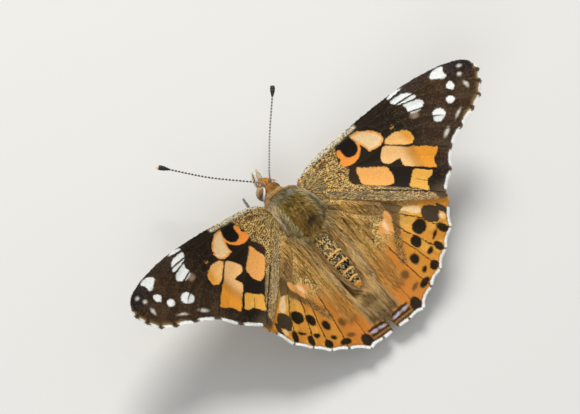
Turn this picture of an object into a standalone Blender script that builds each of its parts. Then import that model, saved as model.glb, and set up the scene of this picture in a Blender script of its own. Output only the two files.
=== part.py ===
"""A painted lady butterfly at life size, standing with its wings spread flat.

Metres, +Z up. The head faces -Y, the insect's left side is +X and the floor is z = 0.
Sizes below are in millimetres, measured from the wing base line: x outwards from the
body's middle, y towards the tail, z up from the height at which the forewings leave the body.
"""

import math

import bmesh
import bpy
import numpy as np
from mathutils import Vector
from mathutils.geometry import delaunay_2d_cdt

MM = 0.001
BASE_HEIGHT = 6.9  # wing base above the floor
FRONT_END = -13.12  # antenna tips
TAIL_END = 23.1  # hindwing teeth
MIDDLE_Y = (FRONT_END + TAIL_END) / 2  # the frame's origin lies under the middle of the whole
FLOOR = -BASE_HEIGHT
GAP = 0.3  # kept between neighbouring pieces

# Thorax: stations along y with the height of the middle, the half width and the half height.
THORAX = (
    (-0.88, -1.88, 1.40, 1.30),
    (-0.60, -1.84, 1.95, 1.62),
    (0.00, -1.76, 2.45, 1.92),
    (0.80, -1.68, 2.75, 2.12),
    (1.80, -1.60, 2.85, 2.25),
    (3.40, -1.60, 2.90, 2.30),
    (5.00, -1.75, 2.80, 2.05),
    (6.10, -1.95, 2.05, 1.65),
    (6.60, -2.10, 1.35, 1.25),
)
THORAX_SIDE = 2.45  # the flat flank that the wings meet
THORAX_POWER = 2.5

# Abdomen: the same kind of stations.
ABDOMEN = (
    (6.90, -2.15, 1.25, 1.20),
    (7.60, -2.20, 1.60, 1.55),
    (9.50, -2.50, 1.68, 1.62),
    (11.50, -2.85, 1.60, 1.50),
    (13.20, -3.10, 1.35, 1.25),
    (14.60, -3.28, 1.00, 0.92),
    (15.50, -3.38, 0.62, 0.58),
    (15.85, -3.42, 0.30, 0.28),
)
ABDOMEN_POWER = 2.1
ABDOMEN_RINGS = (8.55, 10.05, 11.45, 12.75, 13.85, 14.75)
RING_GROOVE = 0.07
RING_HALF = 0.12

# Head, with flat sides that the eyes meet.
HEAD = (
    (-3.50, -1.96, 0.30, 0.40),
    (-3.25, -1.92, 0.78, 0.84),
    (-2.70, -1.82, 1.12, 1.15),
    (-2.00, -1.80, 1.20, 1.22),
    (-1.50, -1.84, 1.14, 1.15),
    (-1.18, -1.88, 1.02, 1.02),
)
HEAD_SIDE = 0.80
HEAD_POWER = 2.2
EYE_CENTRE = (HEAD_SIDE + GAP, -2.20, -1.84)
EYE_SIZE = (0.66, 1.02, 1.26)  # bulge outwards, half length, half height
EYE_SWELL = 88.0  # degrees from the eye's foot to its last ring

WING_HALF = 0.26  # half the thickness of a wing's plate
WING_STEP = 1.5  # spacing of the points inside a wing
VEIN_HEIGHT = 0.10
VEIN_HALF = 0.22
VEIN_STEP = 1.3
WING_ROOT = THORAX_SIDE + GAP
OVERLAP_DROP = 0.95  # hindwing's middle below the forewing's where one lies over the other

# Forewing outline in plan: leading edge, vein ends round the margin, and inner edge.
FORE_COSTA = (
    (WING_ROOT, 0.55), (3.4, -0.1), (4.4, -0.55), (5.6, -0.78), (9.5, -0.98),
    (16.0, -0.85), (22.0, -0.45), (26.5, 0.4), (29.6, 1.45), (31.25, 2.75),
)
FORE_ENDS = (
    (31.25, 2.75), (31.75, 4.35), (30.95, 5.75), (29.55, 7.15), (27.5, 7.95),
    (24.6, 8.75), (21.75, 9.85), (19.65, 12.1), (16.7, 13.95),
)
FORE_SCALLOPS = (-0.16, 0.22, 0.22, 0.22, 0.3, 0.34, 0.3, 0.25)
FORE_INNER = ((16.7, 13.95), (15.9, 14.1), (11.5, 10.85), (7.4, 7.1), (4.6, 4.3), (WING_ROOT, 2.25))

# Hindwing outline in plan, in the same order.
HIND_COSTA = (
    (WING_ROOT, 2.7), (5.0, 2.9), (9.0, 4.4), (13.8, 7.6), (16.5, 11.2), (16.9, 13.3), (16.15, 15.3),
)
HIND_ENDS = (
    (16.15, 15.3), (14.75, 17.6), (12.5, 19.15), (10.25, 20.65), (7.75, 21.55),
    (4.95, 23.1), (2.4, 23.0), (0.6, 22.8),
)
HIND_SCALLOPS = (0.2, 0.34, 0.34, 0.36, 0.42, 0.34, 0.1)
HIND_INNER = (
    (0.6, 22.8), (0.35, 20.0), (0.35, 17.8), (0.75, 16.8), (1.35, 15.5), (1.75, 14.0), (2.0, 12.0),
    (2.1, 9.8), (2.1, 8.0), (2.45, 6.6), (WING_ROOT, 5.7),
)

FORE_VEINS = (
    ((2.9, 1.3), (4.2, 0.1), (8.0, -0.45), (14.0, -0.55), (18.5, -0.6)),
    ((2.9, 1.4), (7.0, 0.25), (11.0, 0.3), (15.0, 0.6), (20.0, 1.0), (26.0, 1.9), (31.25, 2.75)),
    ((11.5, 0.35), (16.0, 0.1), (21.5, -0.3)),
    ((24.5, 1.7), (28.5, 3.1), (31.75, 4.35)),
    ((19.5, 0.95), (25.0, 3.0), (30.95, 5.75)),
    ((15.0, 1.2), (19.0, 2.3), (24.0, 4.2), (29.55, 7.15)),
    ((15.15, 2.1), (18.0, 2.9), (21.5, 4.6), (25.0, 6.7), (27.5, 7.95)),
    ((14.6, 0.6), (15.0, 1.2), (15.15, 2.1), (15.0, 2.9), (14.6, 3.75)),
    ((2.9, 1.5), (6.0, 1.9), (9.2, 3.1), (12.5, 3.95), (14.6, 3.75), (16.1, 5.1), (18.9, 7.5),
     (21.75, 9.85)),
    ((15.0, 2.9), (17.2, 3.45), (19.6, 5.0), (22.3, 7.1), (24.6, 8.75)),
    ((9.2, 3.1), (11.4, 4.85), (14.2, 7.4), (17.9, 10.6), (19.65, 12.1)),
    ((2.9, 1.7), (6.0, 3.4), (9.0, 6.1), (11.8, 9.0), (14.8, 12.1), (16.7, 13.95)),
)
HIND_VEINS = (
    ((2.9, 3.2), (6.0, 4.2), (10.0, 6.6), (14.4, 10.6), (16.5, 13.6)),
    ((2.9, 3.9), (5.5, 6.2), (8.4, 8.8), (12.4, 11.5), (16.15, 15.3)),
    ((8.4, 8.8), (10.4, 11.9), (12.1, 13.9), (13.2, 15.9), (14.75, 17.6)),
    ((8.4, 8.8), (8.8, 11.0), (9.3, 13.5), (10.2, 15.3), (11.1, 17.2), (12.5, 19.15)),
    ((2.9, 4.6), (4.6, 8.0), (7.4, 11.7), (8.35, 14.4), (9.2, 16.9), (9.7, 18.7), (10.25, 20.65)),
    ((6.2, 10.5), (7.0, 14.0), (7.25, 17.0), (7.4, 19.0), (7.75, 21.55)),
    ((4.0, 7.2), (4.2, 10.0), (4.2, 14.0), (4.15, 18.0), (4.4, 21.0), (4.95, 23.1)),
    ((2.9, 5.3), (2.75, 9.0), (2.6, 14.0), (2.3, 18.5), (2.4, 23.0)),
)

ANTENNA = (
    (0.95, -3.2, -0.32), (2.6, -4.9, -0.45), (5.8, -8.1, -0.45), (9.6, -11.75, 0.55), (10.75, -12.95, 0.72),
)
ANTENNA_ROOT = (0.50, -2.15)
ANTENNA_RISE = 0.22  # how far it stands up before it bends forward
SHAFT_RADIUS = 0.25
CLUB_RADIUS = 0.52
CLUB_LENGTH = 2.0
CLUB_END = 0.45  # length of its rounded end

PALP_PATH = ((0.458, -3.555, -2.16), (0.44, -3.9, -1.95), (0.40, -4.55, -1.38), (0.37, -5.0, -0.88))
PALP_RADII = (0.34, 0.42, 0.46, 0.46, 0.42, 0.36, 0.30, 0.20)
PALP_FLATNESS = 0.7

COIL_CENTRE = (0.0, -2.95, -3.72)
COIL_RADIUS = 0.72
COIL_HALF = 0.27

# Legs: root on the thorax in plan, then knee, ankle, and toe on the floor.
MIDDLE_LEG = ((1.05, 1.4), (4.5, -0.1, -2.8), (5.7, -1.2, FLOOR + 0.45), (7.6, -2.8, FLOOR + 0.2))
HIND_LEG = ((1.00, 4.2), (4.1, 7.0, -3.2), (5.5, 10.6, FLOOR + 0.45), (6.2, 14.0, FLOOR + 0.2))
FORE_LEG = ((0.80, 0.2), (1.90, 0.0, -5.7), (2.35, -2.2, -4.8), (1.95, -4.3, -4.5))
COXA_LENGTH = 0.85
COXA_RADIUS = 0.42
LEG_RADII = (  # along the coxa, femur, tibia and tarsus
    (0.36,),
    (0.32, 0.36, 0.33, 0.29),
    (0.27, 0.28, 0.27, 0.26),
    (0.25, 0.25, 0.25, 0.20),
)
CORNER_CUT = 0.4  # how far from a joint its bend starts

BODY_SIDES = 24
TUBE_SIDES = 8


def fore_height(x, y):
    """Height of the forewing's middle surface over a point of the plan."""
    rise = -0.735 + 0.2582 * x - 0.1027 * y - 0.0003 * x * x - 0.0076 * x * y + 0.0054 * y * y
    return rise - 0.45 * math.exp(-(((x - WING_ROOT) / 1.6) ** 2))


def hind_height(x, y):
    """Height of the hindwing's middle surface: below the forewing, and a trough by the abdomen."""
    rise = 0.078 + 0.1626 * x - 0.1882 * y + 0.01 * x * x - 0.0068 * x * y - 0.001 * y * y
    trough = 0.9 * math.exp(-(((x - 1.0) / 1.7) ** 2)) / (1.0 + math.exp((y - 18.5) / 0.9))
    rise -= trough
    under = fore_height(x, y) - OVERLAP_DROP
    blend = 0.18
    return rise - blend * math.log(1.0 + math.exp((rise - under) / blend))


def curve_through(points, count):
    """Evenly spaced points on a smooth curve through the given ones."""
    given = [np.array(p, float) for p in points]
    padded = [2 * given[0] - given[1]] + given + [2 * given[-1] - given[-2]]
    fine = []
    for a, b, c, d in zip(padded, padded[1:], padded[2:], padded[3:]):
        for t in np.linspace(0.0, 1.0, 12, endpoint=False):
            fine.append(
                b + 0.5 * ((c - a) * t + (2 * a - 5 * b + 4 * c - d) * t**2 + (3 * b - a - 3 * c + d) * t**3)
            )
    fine.append(given[-1])
    fine = np.array(fine)
    along = np.concatenate([[0.0], np.cumsum(np.linalg.norm(np.diff(fine, axis=0), axis=1))])
    wanted = np.linspace(0.0, along[-1], count)
    return np.stack([np.interp(wanted, along, fine[:, i]) for i in range(fine.shape[1])], axis=1)


def station(stations, y):
    """Middle height, half width and half height at y, read smoothly between stations."""
    rows = np.array(stations)
    fine = curve_through(rows, 200)
    return [float(np.interp(y, fine[:, 0], fine[:, i])) for i in (1, 2, 3)]


def make_object(name, points, faces, made_of, root, smooth_angle=50.0):
    """One mesh object from points in millimetres, with its origin at root, smooth up to an angle."""
    mesh = bpy.data.meshes.new(name)
    root = Vector(root)
    mesh.from_pydata([(Vector(p) - root) * MM for p in points], [], faces)
    mesh.update()
    build = bmesh.new()
    build.from_mesh(mesh)
    bmesh.ops.recalc_face_normals(build, faces=build.faces)
    build.to_mesh(mesh)
    build.free()
    mesh.polygons.foreach_set("use_smooth", [True] * len(mesh.polygons))
    mesh.set_sharp_from_angle(angle=math.radians(smooth_angle))
    mesh.materials.append(made_of)
    obj = bpy.data.objects.new(name, mesh)
    obj.location = (root + Vector((0.0, -MIDDLE_Y, BASE_HEIGHT))) * MM
    bpy.context.scene.collection.objects.link(obj)
    return obj


def material(name, colour, roughness):
    made = bpy.data.materials.new(name)
    made.use_nodes = True
    shader = made.node_tree.nodes["Principled BSDF"]
    shader.inputs["Base Color"].default_value = (*colour, 1.0)
    shader.inputs["Roughness"].default_value = roughness
    shader.inputs["Metallic"].default_value = 0.0
    made.diffuse_color = (*colour, 1.0)
    return made


def skin_rings(rings):
    """Points and faces of a closed surface over rings of equal length, with flat ends."""
    sides = len(rings[0])
    points = [tuple(p) for ring in rings for p in ring]
    faces = [tuple(reversed(range(sides)))]
    for r in range(len(rings) - 1):
        for s in range(sides):
            t = (s + 1) % sides
            a, b = r * sides, (r + 1) * sides
            faces.append((a + s, a + t, b + t, b + s))
    last = (len(rings) - 1) * sides
    faces.append(tuple(range(last, last + sides)))
    return points, faces


def round_section(y, middle, wide, high, side_limit, power):
    """A rounded section across the body, its flanks cut flat at side_limit."""
    ring = []
    for k in range(BODY_SIDES):
        angle = 2 * math.pi * (k + 0.5) / BODY_SIDES
        c, s = math.cos(angle), math.sin(angle)
        x = wide * math.copysign(abs(c) ** (2 / power), c)
        z = middle + high * math.copysign(abs(s) ** (2 / power), s)
        ring.append((max(-side_limit, min(side_limit, x)), y, z))
    return ring


def body_loft(stations, ys, side_limit, power, groove=lambda y: 0.0):
    rings = []
    for y in ys:
        middle, wide, high = station(stations, y)
        cut = groove(y)
        rings.append(round_section(y, middle, wide - cut, high - cut, side_limit, power))
    return skin_rings(rings)


def underside(stations, power, x, y):
    """Point and outward direction on the lower surface of a lofted body."""
    def low(u, v):
        middle, wide, high = station(stations, v)
        return middle - high * (1.0 - min(0.999, abs(u) / wide) ** power) ** (1 / power)
    step = 0.02
    slope_x = (low(x + step, y) - low(x - step, y)) / (2 * step)
    slope_y = (low(x, y + step) - low(x, y - step)) / (2 * step)
    return Vector((x, y, low(x, y))), Vector((slope_x, slope_y, -1.0)).normalized()


def topside(stations, power, x, y):
    """Point and outward direction on the upper surface of a lofted body."""
    middle = station(stations, y)[0]
    point, outwards = underside(stations, power, x, y)
    return Vector((x, y, 2 * middle - point.z)), Vector((outwards.x, outwards.y, -outwards.z))


def tube(path, radii, flatten=1.0):
    """Rings along a path joined to a closed tube, each tilted halfway between its two neighbours."""
    path = [Vector(p) for p in path]
    steps = [(b - a).normalized() for a, b in zip(path, path[1:])]
    across = steps[0].cross(Vector((0, 0, 1)))
    across = across.normalized() if across.length > 0.4 else Vector((1, 0, 0))
    rings = []
    for i, (point, radius) in enumerate(zip(path, radii)):
        arriving, leaving = steps[max(i - 1, 0)], steps[min(i, len(steps) - 1)]
        tilt = (arriving + leaving).normalized()
        across = (across - arriving * across.dot(arriving)).normalized()
        upward = arriving.cross(across)
        ring = []
        for k in range(TUBE_SIDES):
            angle = 2 * math.pi * (k + 0.5) / TUBE_SIDES
            spoke = (across * math.cos(angle) * flatten + upward * math.sin(angle)) * radius
            ring.append(point + spoke - arriving * (spoke.dot(tilt) / arriving.dot(tilt)))
        rings.append(ring)
    return skin_rings(rings)


def mirrored(points, faces):
    return [(-p[0], p[1], p[2]) for p in points], [tuple(reversed(f)) for f in faces]


def both_sides(name, points, faces, made_of, root, smooth_angle=50.0):
    """The left piece and its mirror image on the right."""
    across = (-root[0], root[1], root[2])
    make_object(name + "_left", points, faces, made_of, root, smooth_angle)
    make_object(name + "_right", *mirrored(points, faces), made_of, across, smooth_angle)


def scalloped(ends, depths, centre, per_span):
    """The margin from vein end to vein end, drawn in between them by the given depths."""
    line = []
    middle = np.array(centre)
    for a, b, depth in zip(ends, ends[1:], depths):
        a, b = np.array(a), np.array(b)
        normal = np.array([-(b - a)[1], (b - a)[0]]) / np.linalg.norm(b - a)
        if normal @ (middle - a) < 0:
            normal = -normal
        for t in np.linspace(0.0, 1.0, per_span, endpoint=False):
            line.append(a + (b - a) * t + normal * depth * math.sin(math.pi * t))
    line.append(np.array(ends[-1]))
    return np.array(line)


def distance_to_line(point, line):
    """Least distance from a point of the plan to a line of points."""
    starts, spans = line[:-1], np.diff(line, axis=0)
    t = ((point - starts) * spans).sum(axis=1) / (spans**2).sum(axis=1)
    nearest = starts + spans * np.clip(t, 0.0, 1.0)[:, None]
    return float(np.linalg.norm(nearest - point, axis=1).min())


def is_inside(point, outline):
    x, y = point
    a, b = outline, np.roll(outline, -1, axis=0)
    crosses = (a[:, 1] > y) != (b[:, 1] > y)
    rise = np.where(b[:, 1] == a[:, 1], 1.0, b[:, 1] - a[:, 1])
    at = a[:, 0] + (y - a[:, 1]) / rise * (b[:, 0] - a[:, 0])
    return bool(((at > x) & crosses).sum() % 2)


def wing(outline, veins, height):
    """A thin plate over the plan outline, with its veins raised as ridges on both faces."""
    lines = []
    for vein in veins:
        length = np.linalg.norm(np.diff(np.array(vein), axis=0), axis=1).sum()
        lines.append(curve_through(vein, max(3, int(length / VEIN_STEP))))
    places = [Vector(p) for p in outline]
    edges = []
    for line in lines:
        along = np.gradient(line, axis=0)
        normal = np.stack([-along[:, 1], along[:, 0]], axis=1) / np.linalg.norm(along, axis=1)[:, None]
        for offset in (0.0, VEIN_HALF, -VEIN_HALF):
            kept = [p for p in line + normal * offset if is_inside(p, outline)]
            first = len(places)
            places += [Vector(p) for p in kept]
            edges += [(first + i, first + i + 1) for i in range(len(kept) - 1)]
    closed = np.vstack([outline, outline[:1]])
    low, high = outline.min(axis=0), outline.max(axis=0)
    row = 0
    y = low[1] + WING_STEP / 2
    while y < high[1]:
        x = low[0] + (WING_STEP / 2 if row % 2 else 0.0)
        while x < high[0]:
            point = np.array([x, y])
            clear = is_inside(point, outline) and distance_to_line(point, closed) > 0.45 * WING_STEP
            if clear and all(distance_to_line(point, line) > 0.5 * WING_STEP for line in lines):
                places.append(Vector(point))
            x += WING_STEP
        y += WING_STEP * 0.87
        row += 1
    found = delaunay_2d_cdt(places, edges, [list(range(len(outline)))], 1, 1e-5)
    plan, triangles = [np.array(p) for p in found[0]], [tuple(f) for f in found[2]]
    top, bottom = [], []
    for point in plan:
        near = min(distance_to_line(point, line) for line in lines)
        ridge = VEIN_HEIGHT * max(0.0, 1.0 - near / VEIN_HALF)
        middle = height(point[0], point[1])
        top.append((point[0], point[1], middle + WING_HALF + ridge))
        bottom.append((point[0], point[1], middle - WING_HALF - ridge))
    count = len(plan)
    faces = list(triangles)
    faces += [tuple(count + i for i in reversed(f)) for f in triangles]
    used = {}
    for f in triangles:
        for a, b in zip(f, f[1:] + f[:1]):
            used[(a, b)] = True
    rim = [(a, b) for a, b in used if (b, a) not in used]
    for a, b in rim:
        faces.append((b, a, count + a))
        faces.append((b, count + a, count + b))
    return top + bottom, faces


def fore_outline():
    lead = curve_through(FORE_COSTA, 24)
    margin = scalloped(FORE_ENDS, FORE_SCALLOPS, (20.0, 3.0), 4)
    inner = curve_through(FORE_INNER, 13)
    return np.vstack([lead[:-1], margin[:-1], inner])


def hind_outline():
    lead = curve_through(HIND_COSTA, 14)
    margin = scalloped(HIND_ENDS, HIND_SCALLOPS, (7.0, 13.0), 4)
    inner = curve_through(HIND_INNER, 17)
    return np.vstack([lead[:-1], margin[:-1], inner])


def build_wings(made_of):
    root = (WING_ROOT, 1.4, fore_height(WING_ROOT, 1.4))
    both_sides("forewing", *wing(fore_outline(), FORE_VEINS, fore_height), made_of, root, 30.0)
    root = (WING_ROOT, 4.2, hind_height(WING_ROOT, 4.2))
    both_sides("hindwing", *wing(hind_outline(), HIND_VEINS, hind_height), made_of, root, 30.0)


def build_thorax(made_of):
    ys = curve_through([(s[0],) for s in THORAX], 15)[:, 0]
    make_object("thorax", *body_loft(THORAX, ys, THORAX_SIDE, THORAX_POWER), made_of, (0.0, 2.8, -1.65))


def build_abdomen(made_of):
    even = set(np.round(curve_through([(s[0],) for s in ABDOMEN], 14)[:, 0], 3))
    grooved = {round(y + d, 3) for y in ABDOMEN_RINGS for d in (-RING_HALF, 0.0, RING_HALF)}
    ys = sorted(even | grooved)
    ys = [y for i, y in enumerate(ys) if i == 0 or y - ys[i - 1] > 0.05]

    def groove(y):
        return sum(RING_GROOVE * max(0.0, 1.0 - abs(y - ring) / RING_HALF) for ring in ABDOMEN_RINGS)

    loft = body_loft(ABDOMEN, ys, math.inf, ABDOMEN_POWER, groove)
    make_object("abdomen", *loft, made_of, (0.0, *ABDOMEN[0][:2]))


def build_head(made_of):
    ys = curve_through([(s[0],) for s in HEAD], 10)[:, 0]
    make_object("head", *body_loft(HEAD, ys, HEAD_SIDE, HEAD_POWER), made_of, (0.0, *HEAD[-1][:2]))


def build_eyes(made_of):
    rings = []
    layers, sides = 6, 20
    for i in range(layers + 1):
        swell = math.radians(EYE_SWELL) * i / layers
        ring = []
        for k in range(sides):
            angle = 2 * math.pi * k / sides
            ring.append((
                EYE_CENTRE[0] + EYE_SIZE[0] * math.sin(swell),
                EYE_CENTRE[1] + EYE_SIZE[1] * math.cos(swell) * math.cos(angle),
                EYE_CENTRE[2] + EYE_SIZE[2] * math.cos(swell) * math.sin(angle),
            ))
        rings.append(ring)
    both_sides("eye", *skin_rings(rings), made_of, EYE_CENTRE)


def build_antennae(made_of):
    root, outwards = topside(HEAD, HEAD_POWER, *ANTENNA_ROOT)
    start = root + outwards * GAP
    route = [tuple(start), tuple(start + outwards * ANTENNA_RISE), *ANTENNA]
    path = [Vector(p) for p in curve_through(route, 26)]
    radii = []
    for p in path:
        left = (path[-1] - p).length
        swell = min(1.0, 1.25 * max(0.0, 1.0 - left / CLUB_LENGTH))
        full = SHAFT_RADIUS + (CLUB_RADIUS - SHAFT_RADIUS) * math.sin(math.pi * swell / 2)
        radii.append(full * math.sqrt(max(0.25, min(1.0, left / CLUB_END))))
    both_sides("antenna", *tube(path, radii), made_of, path[0])


def build_palps(made_of):
    path = curve_through(PALP_PATH, len(PALP_RADII))
    both_sides("palp", *tube(path, PALP_RADII, PALP_FLATNESS), made_of, path[0])


def build_coil(made_of):
    rings = []
    sides = 20
    for across, share in ((-1.0, 0.82), (-0.6, 1.0), (0.6, 1.0), (1.0, 0.82)):
        ring = []
        for k in range(sides):
            angle = 2 * math.pi * k / sides
            ring.append((
                COIL_CENTRE[0] + COIL_HALF * across,
                COIL_CENTRE[1] + COIL_RADIUS * share * math.cos(angle),
                COIL_CENTRE[2] + COIL_RADIUS * share * math.sin(angle),
            ))
        rings.append(ring)
    make_object("proboscis", *skin_rings(rings), made_of, COIL_CENTRE)


def leg(root_plan, knee, ankle, toe):
    """Coxa, femur, tibia and tarsus in one tube that starts square to the thorax."""
    root, outwards = underside(THORAX, THORAX_POWER, *root_plan)
    start = root + outwards * GAP
    corners = [start, start + outwards * COXA_LENGTH, Vector(knee), Vector(ankle), Vector(toe)]
    path, radii = [start], [COXA_RADIUS]
    for begin, end, sizes in zip(corners, corners[1:], LEG_RADII):
        inset = min(CORNER_CUT / (end - begin).length, 0.45)
        places = np.linspace(inset, 1.0 if end is corners[-1] else 1.0 - inset, len(sizes))
        if begin is start:
            places = (1.0 - inset,)
        for place, size in zip(places, sizes):
            path.append(begin.lerp(end, place))
            radii.append(size)
    points, faces = tube(path, radii)
    return [(p[0], p[1], max(p[2], FLOOR)) for p in points], faces, path[0]


def build_legs(made_of):
    for name, places in (("midleg", MIDDLE_LEG), ("hindleg", HIND_LEG), ("foreleg", FORE_LEG)):
        points, faces, root = leg(*places)
        both_sides(name, points, faces, made_of, root)


def main():
    for obj in list(bpy.data.objects):
        bpy.data.objects.remove(obj, do_unlink=True)
    wing_scales = material("wing_scales", (0.62, 0.30, 0.10), 0.75)
    body_fur = material("body_fur", (0.26, 0.19, 0.10), 0.85)
    abdomen_fur = material("abdomen_fur", (0.36, 0.28, 0.14), 0.8)
    eye_brown = material("eye_brown", (0.13, 0.06, 0.03), 0.25)
    antenna_dark = material("antenna_dark", (0.05, 0.04, 0.04), 0.5)
    palp_pale = material("palp_pale", (0.55, 0.50, 0.45), 0.7)
    leg_tan = material("leg_tan", (0.42, 0.30, 0.18), 0.6)
    proboscis_brown = material("proboscis_brown", (0.12, 0.07, 0.04), 0.35)
    build_thorax(body_fur)
    build_abdomen(abdomen_fur)
    build_head(body_fur)
    build_eyes(eye_brown)
    build_antennae(antenna_dark)
    build_palps(palp_pale)
    build_coil(proboscis_brown)
    build_wings(wing_scales)
    build_legs(leg_tan)


main()
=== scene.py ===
"""The looks of a painted lady butterfly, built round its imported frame.

Sizes are in millimetres, measured from the wing base line: x outwards from the body's middle,
y towards the tail, z up from the height at which the forewings leave the body. Left is +X.
A wing's outlines and markings are drawn in plan, seen from above, for the left wing.
"""

import math

import bpy
import numpy as np
from mathutils import Matrix, Vector
from mathutils.geometry import delaunay_2d_cdt


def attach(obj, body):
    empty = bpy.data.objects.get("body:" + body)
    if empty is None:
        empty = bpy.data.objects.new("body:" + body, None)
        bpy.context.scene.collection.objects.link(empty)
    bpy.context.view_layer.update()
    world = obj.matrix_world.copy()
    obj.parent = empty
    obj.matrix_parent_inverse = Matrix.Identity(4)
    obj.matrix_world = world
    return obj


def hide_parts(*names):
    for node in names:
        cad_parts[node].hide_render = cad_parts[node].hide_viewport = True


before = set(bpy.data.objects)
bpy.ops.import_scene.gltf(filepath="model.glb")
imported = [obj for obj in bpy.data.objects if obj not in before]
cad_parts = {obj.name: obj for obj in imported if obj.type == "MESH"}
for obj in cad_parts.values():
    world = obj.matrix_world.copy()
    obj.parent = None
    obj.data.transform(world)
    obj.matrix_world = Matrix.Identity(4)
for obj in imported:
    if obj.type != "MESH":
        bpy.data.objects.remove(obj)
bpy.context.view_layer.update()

MM = 0.001
BASE_HEIGHT = 6.9
MIDDLE_Y = 4.99
FLOOR = -BASE_HEIGHT
WING_ROOT = 2.75
RIGHT = np.array((-1.0, 1.0, 1.0))  # turns a place on the left into the same one on the right
SIDES = (("left", 1), ("right", -1))

# Wings: plan outlines, the same as the frame's but reaching into the fur at the root.
SKIN_ROOT = 1.7
FORE_COSTA = (
    (SKIN_ROOT, 0.9), (2.75, 0.45), (3.4, -0.1), (4.4, -0.55), (5.6, -0.78), (9.5, -0.98), (16.0, -0.85),
    (22.0, -0.45), (26.5, 0.4), (29.6, 1.45), (31.25, 2.75),
)
FORE_ENDS = (
    (31.25, 2.75), (31.75, 4.35), (30.95, 5.75), (29.55, 7.15), (27.5, 7.95), (24.6, 8.75), (21.75, 9.85),
    (19.65, 12.1), (16.7, 13.95),
)
FORE_SCALLOPS = (-0.16, 0.22, 0.22, 0.22, 0.3, 0.34, 0.3, 0.25)
FORE_INNER = (
    (16.7, 13.95), (15.9, 14.1), (11.5, 10.85), (7.4, 7.1), (4.6, 4.3), (2.75, 2.6), (SKIN_ROOT, 2.2),
)
HIND_COSTA = (
    (SKIN_ROOT, 2.6), (2.75, 2.7), (5.0, 2.9), (9.0, 4.4), (13.8, 7.6), (16.5, 11.2), (16.9, 13.3),
    (16.15, 15.3),
)
HIND_ENDS = (
    (16.15, 15.3), (14.75, 17.6), (12.5, 19.15), (10.25, 20.65), (7.75, 21.55), (4.95, 23.1), (2.4, 23.0),
    (0.5, 22.8),
)
HIND_SCALLOPS = (0.2, 0.34, 0.34, 0.36, 0.42, 0.34, 0.1)
HIND_INNER = (
    (0.5, 22.8), (0.12, 20.0), (0.10, 17.6), (0.16, 16.4), (0.30, 15.3), (0.42, 14.0), (0.50, 12.0),
    (0.55, 9.8), (0.62, 8.0), (0.95, 6.6), (SKIN_ROOT, 5.6),
)
FORE_VEINS = (
    ((2.9, 1.3), (4.2, 0.1), (8.0, -0.35), (13.0, -0.3), (18.0, -0.45)),
    ((2.9, 1.4), (7.0, 0.25), (11.0, 0.0), (15.0, 0.35), (20.0, 0.9), (26.0, 1.9), (31.25, 2.75)),
    ((11.5, 0.1), (16.0, -0.05), (21.5, -0.15)),
    ((24.5, 1.7), (28.5, 3.1), (31.75, 4.35)),
    ((17.5, 0.6), (20.5, 1.45), (25.0, 3.0), (30.95, 5.75)),
    ((15.0, 1.2), (19.0, 2.3), (24.0, 4.2), (29.55, 7.15)),
    ((15.15, 2.1), (18.0, 2.9), (21.5, 4.6), (25.0, 6.7), (27.5, 7.95)),
    ((14.6, 0.6), (15.2, 1.2), (15.6, 2.1), (15.5, 2.9), (14.5, 3.75)),
    ((2.9, 1.5), (6.0, 1.9), (9.2, 3.1), (12.5, 3.75), (14.3, 3.65), (16.0, 5.0), (18.5, 7.0), (21.75, 9.85)),
    ((15.0, 3.2), (17.2, 3.45), (19.6, 5.0), (22.3, 7.1), (24.6, 8.75)),
    ((9.2, 3.1), (11.4, 4.85), (13.0, 6.1), (14.9, 7.8), (17.9, 10.5), (19.65, 12.1)),
    ((2.9, 1.7), (6.0, 3.9), (9.0, 6.9), (12.0, 9.6), (15.0, 12.3), (16.7, 13.95)),
)
HIND_VEINS = (
    ((2.9, 3.2), (6.0, 4.2), (10.0, 6.6), (14.4, 10.6), (16.5, 13.6)),
    ((2.9, 3.9), (5.5, 6.2), (8.4, 8.8), (10.5, 11.9), (12.3, 14.4), (13.6, 16.0), (16.15, 15.3)),
    ((8.4, 8.8), (10.4, 11.9), (12.1, 13.9), (13.2, 15.9), (14.75, 17.6)),
    ((8.4, 8.8), (8.8, 11.0), (9.3, 13.5), (10.2, 15.3), (11.1, 17.2), (12.5, 19.15)),
    ((2.9, 4.6), (4.6, 8.0), (7.4, 11.7), (8.35, 14.4), (9.2, 16.9), (9.7, 18.7), (10.25, 20.65)),
    ((5.6, 10.0), (6.2, 13.0), (6.7, 16.5), (7.2, 19.4), (7.75, 21.55)),
    ((4.0, 7.2), (4.2, 10.0), (4.1, 14.0), (4.1, 18.0), (4.3, 21.0), (4.95, 23.1)),
    ((2.9, 5.3), (2.85, 9.0), (2.8, 14.0), (2.3, 18.5), (2.4, 23.0)),
)
FORE_CENTRE = (20.0, 3.0)  # a place inside, towards which a margin line is drawn in
HIND_CENTRE = (7.0, 13.0)
OVERLAP_GAP = 0.26  # hindwing skin below the forewing's
SKIN_HALF = 0.05
SKIN_STEP = 0.15
VEIN_RISE = 0.07
SCALE_ROW = 0.13  # from one row of scales to the next
SCALE_ACROSS = 0.135
SCALE_LENGTH = 0.23
SCALE_HALF = 0.085
SCALE_LIFT = 0.045
FRINGE = 0.36  # length of the margin's cilia
CURVE_STEPS = 12  # places on a curve from one given point to the next
LINE_PLACES = 200  # places along a line that carries hair


# Numbers that vary from place to place, the same in every run

def scatter(i, j, seed):
    """A fixed number from 0 to 1 for each pair of whole numbers."""
    value = np.sin(i * 127.1 + j * 311.7 + seed * 74.7) * 43758.5453
    return value - np.floor(value)


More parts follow.
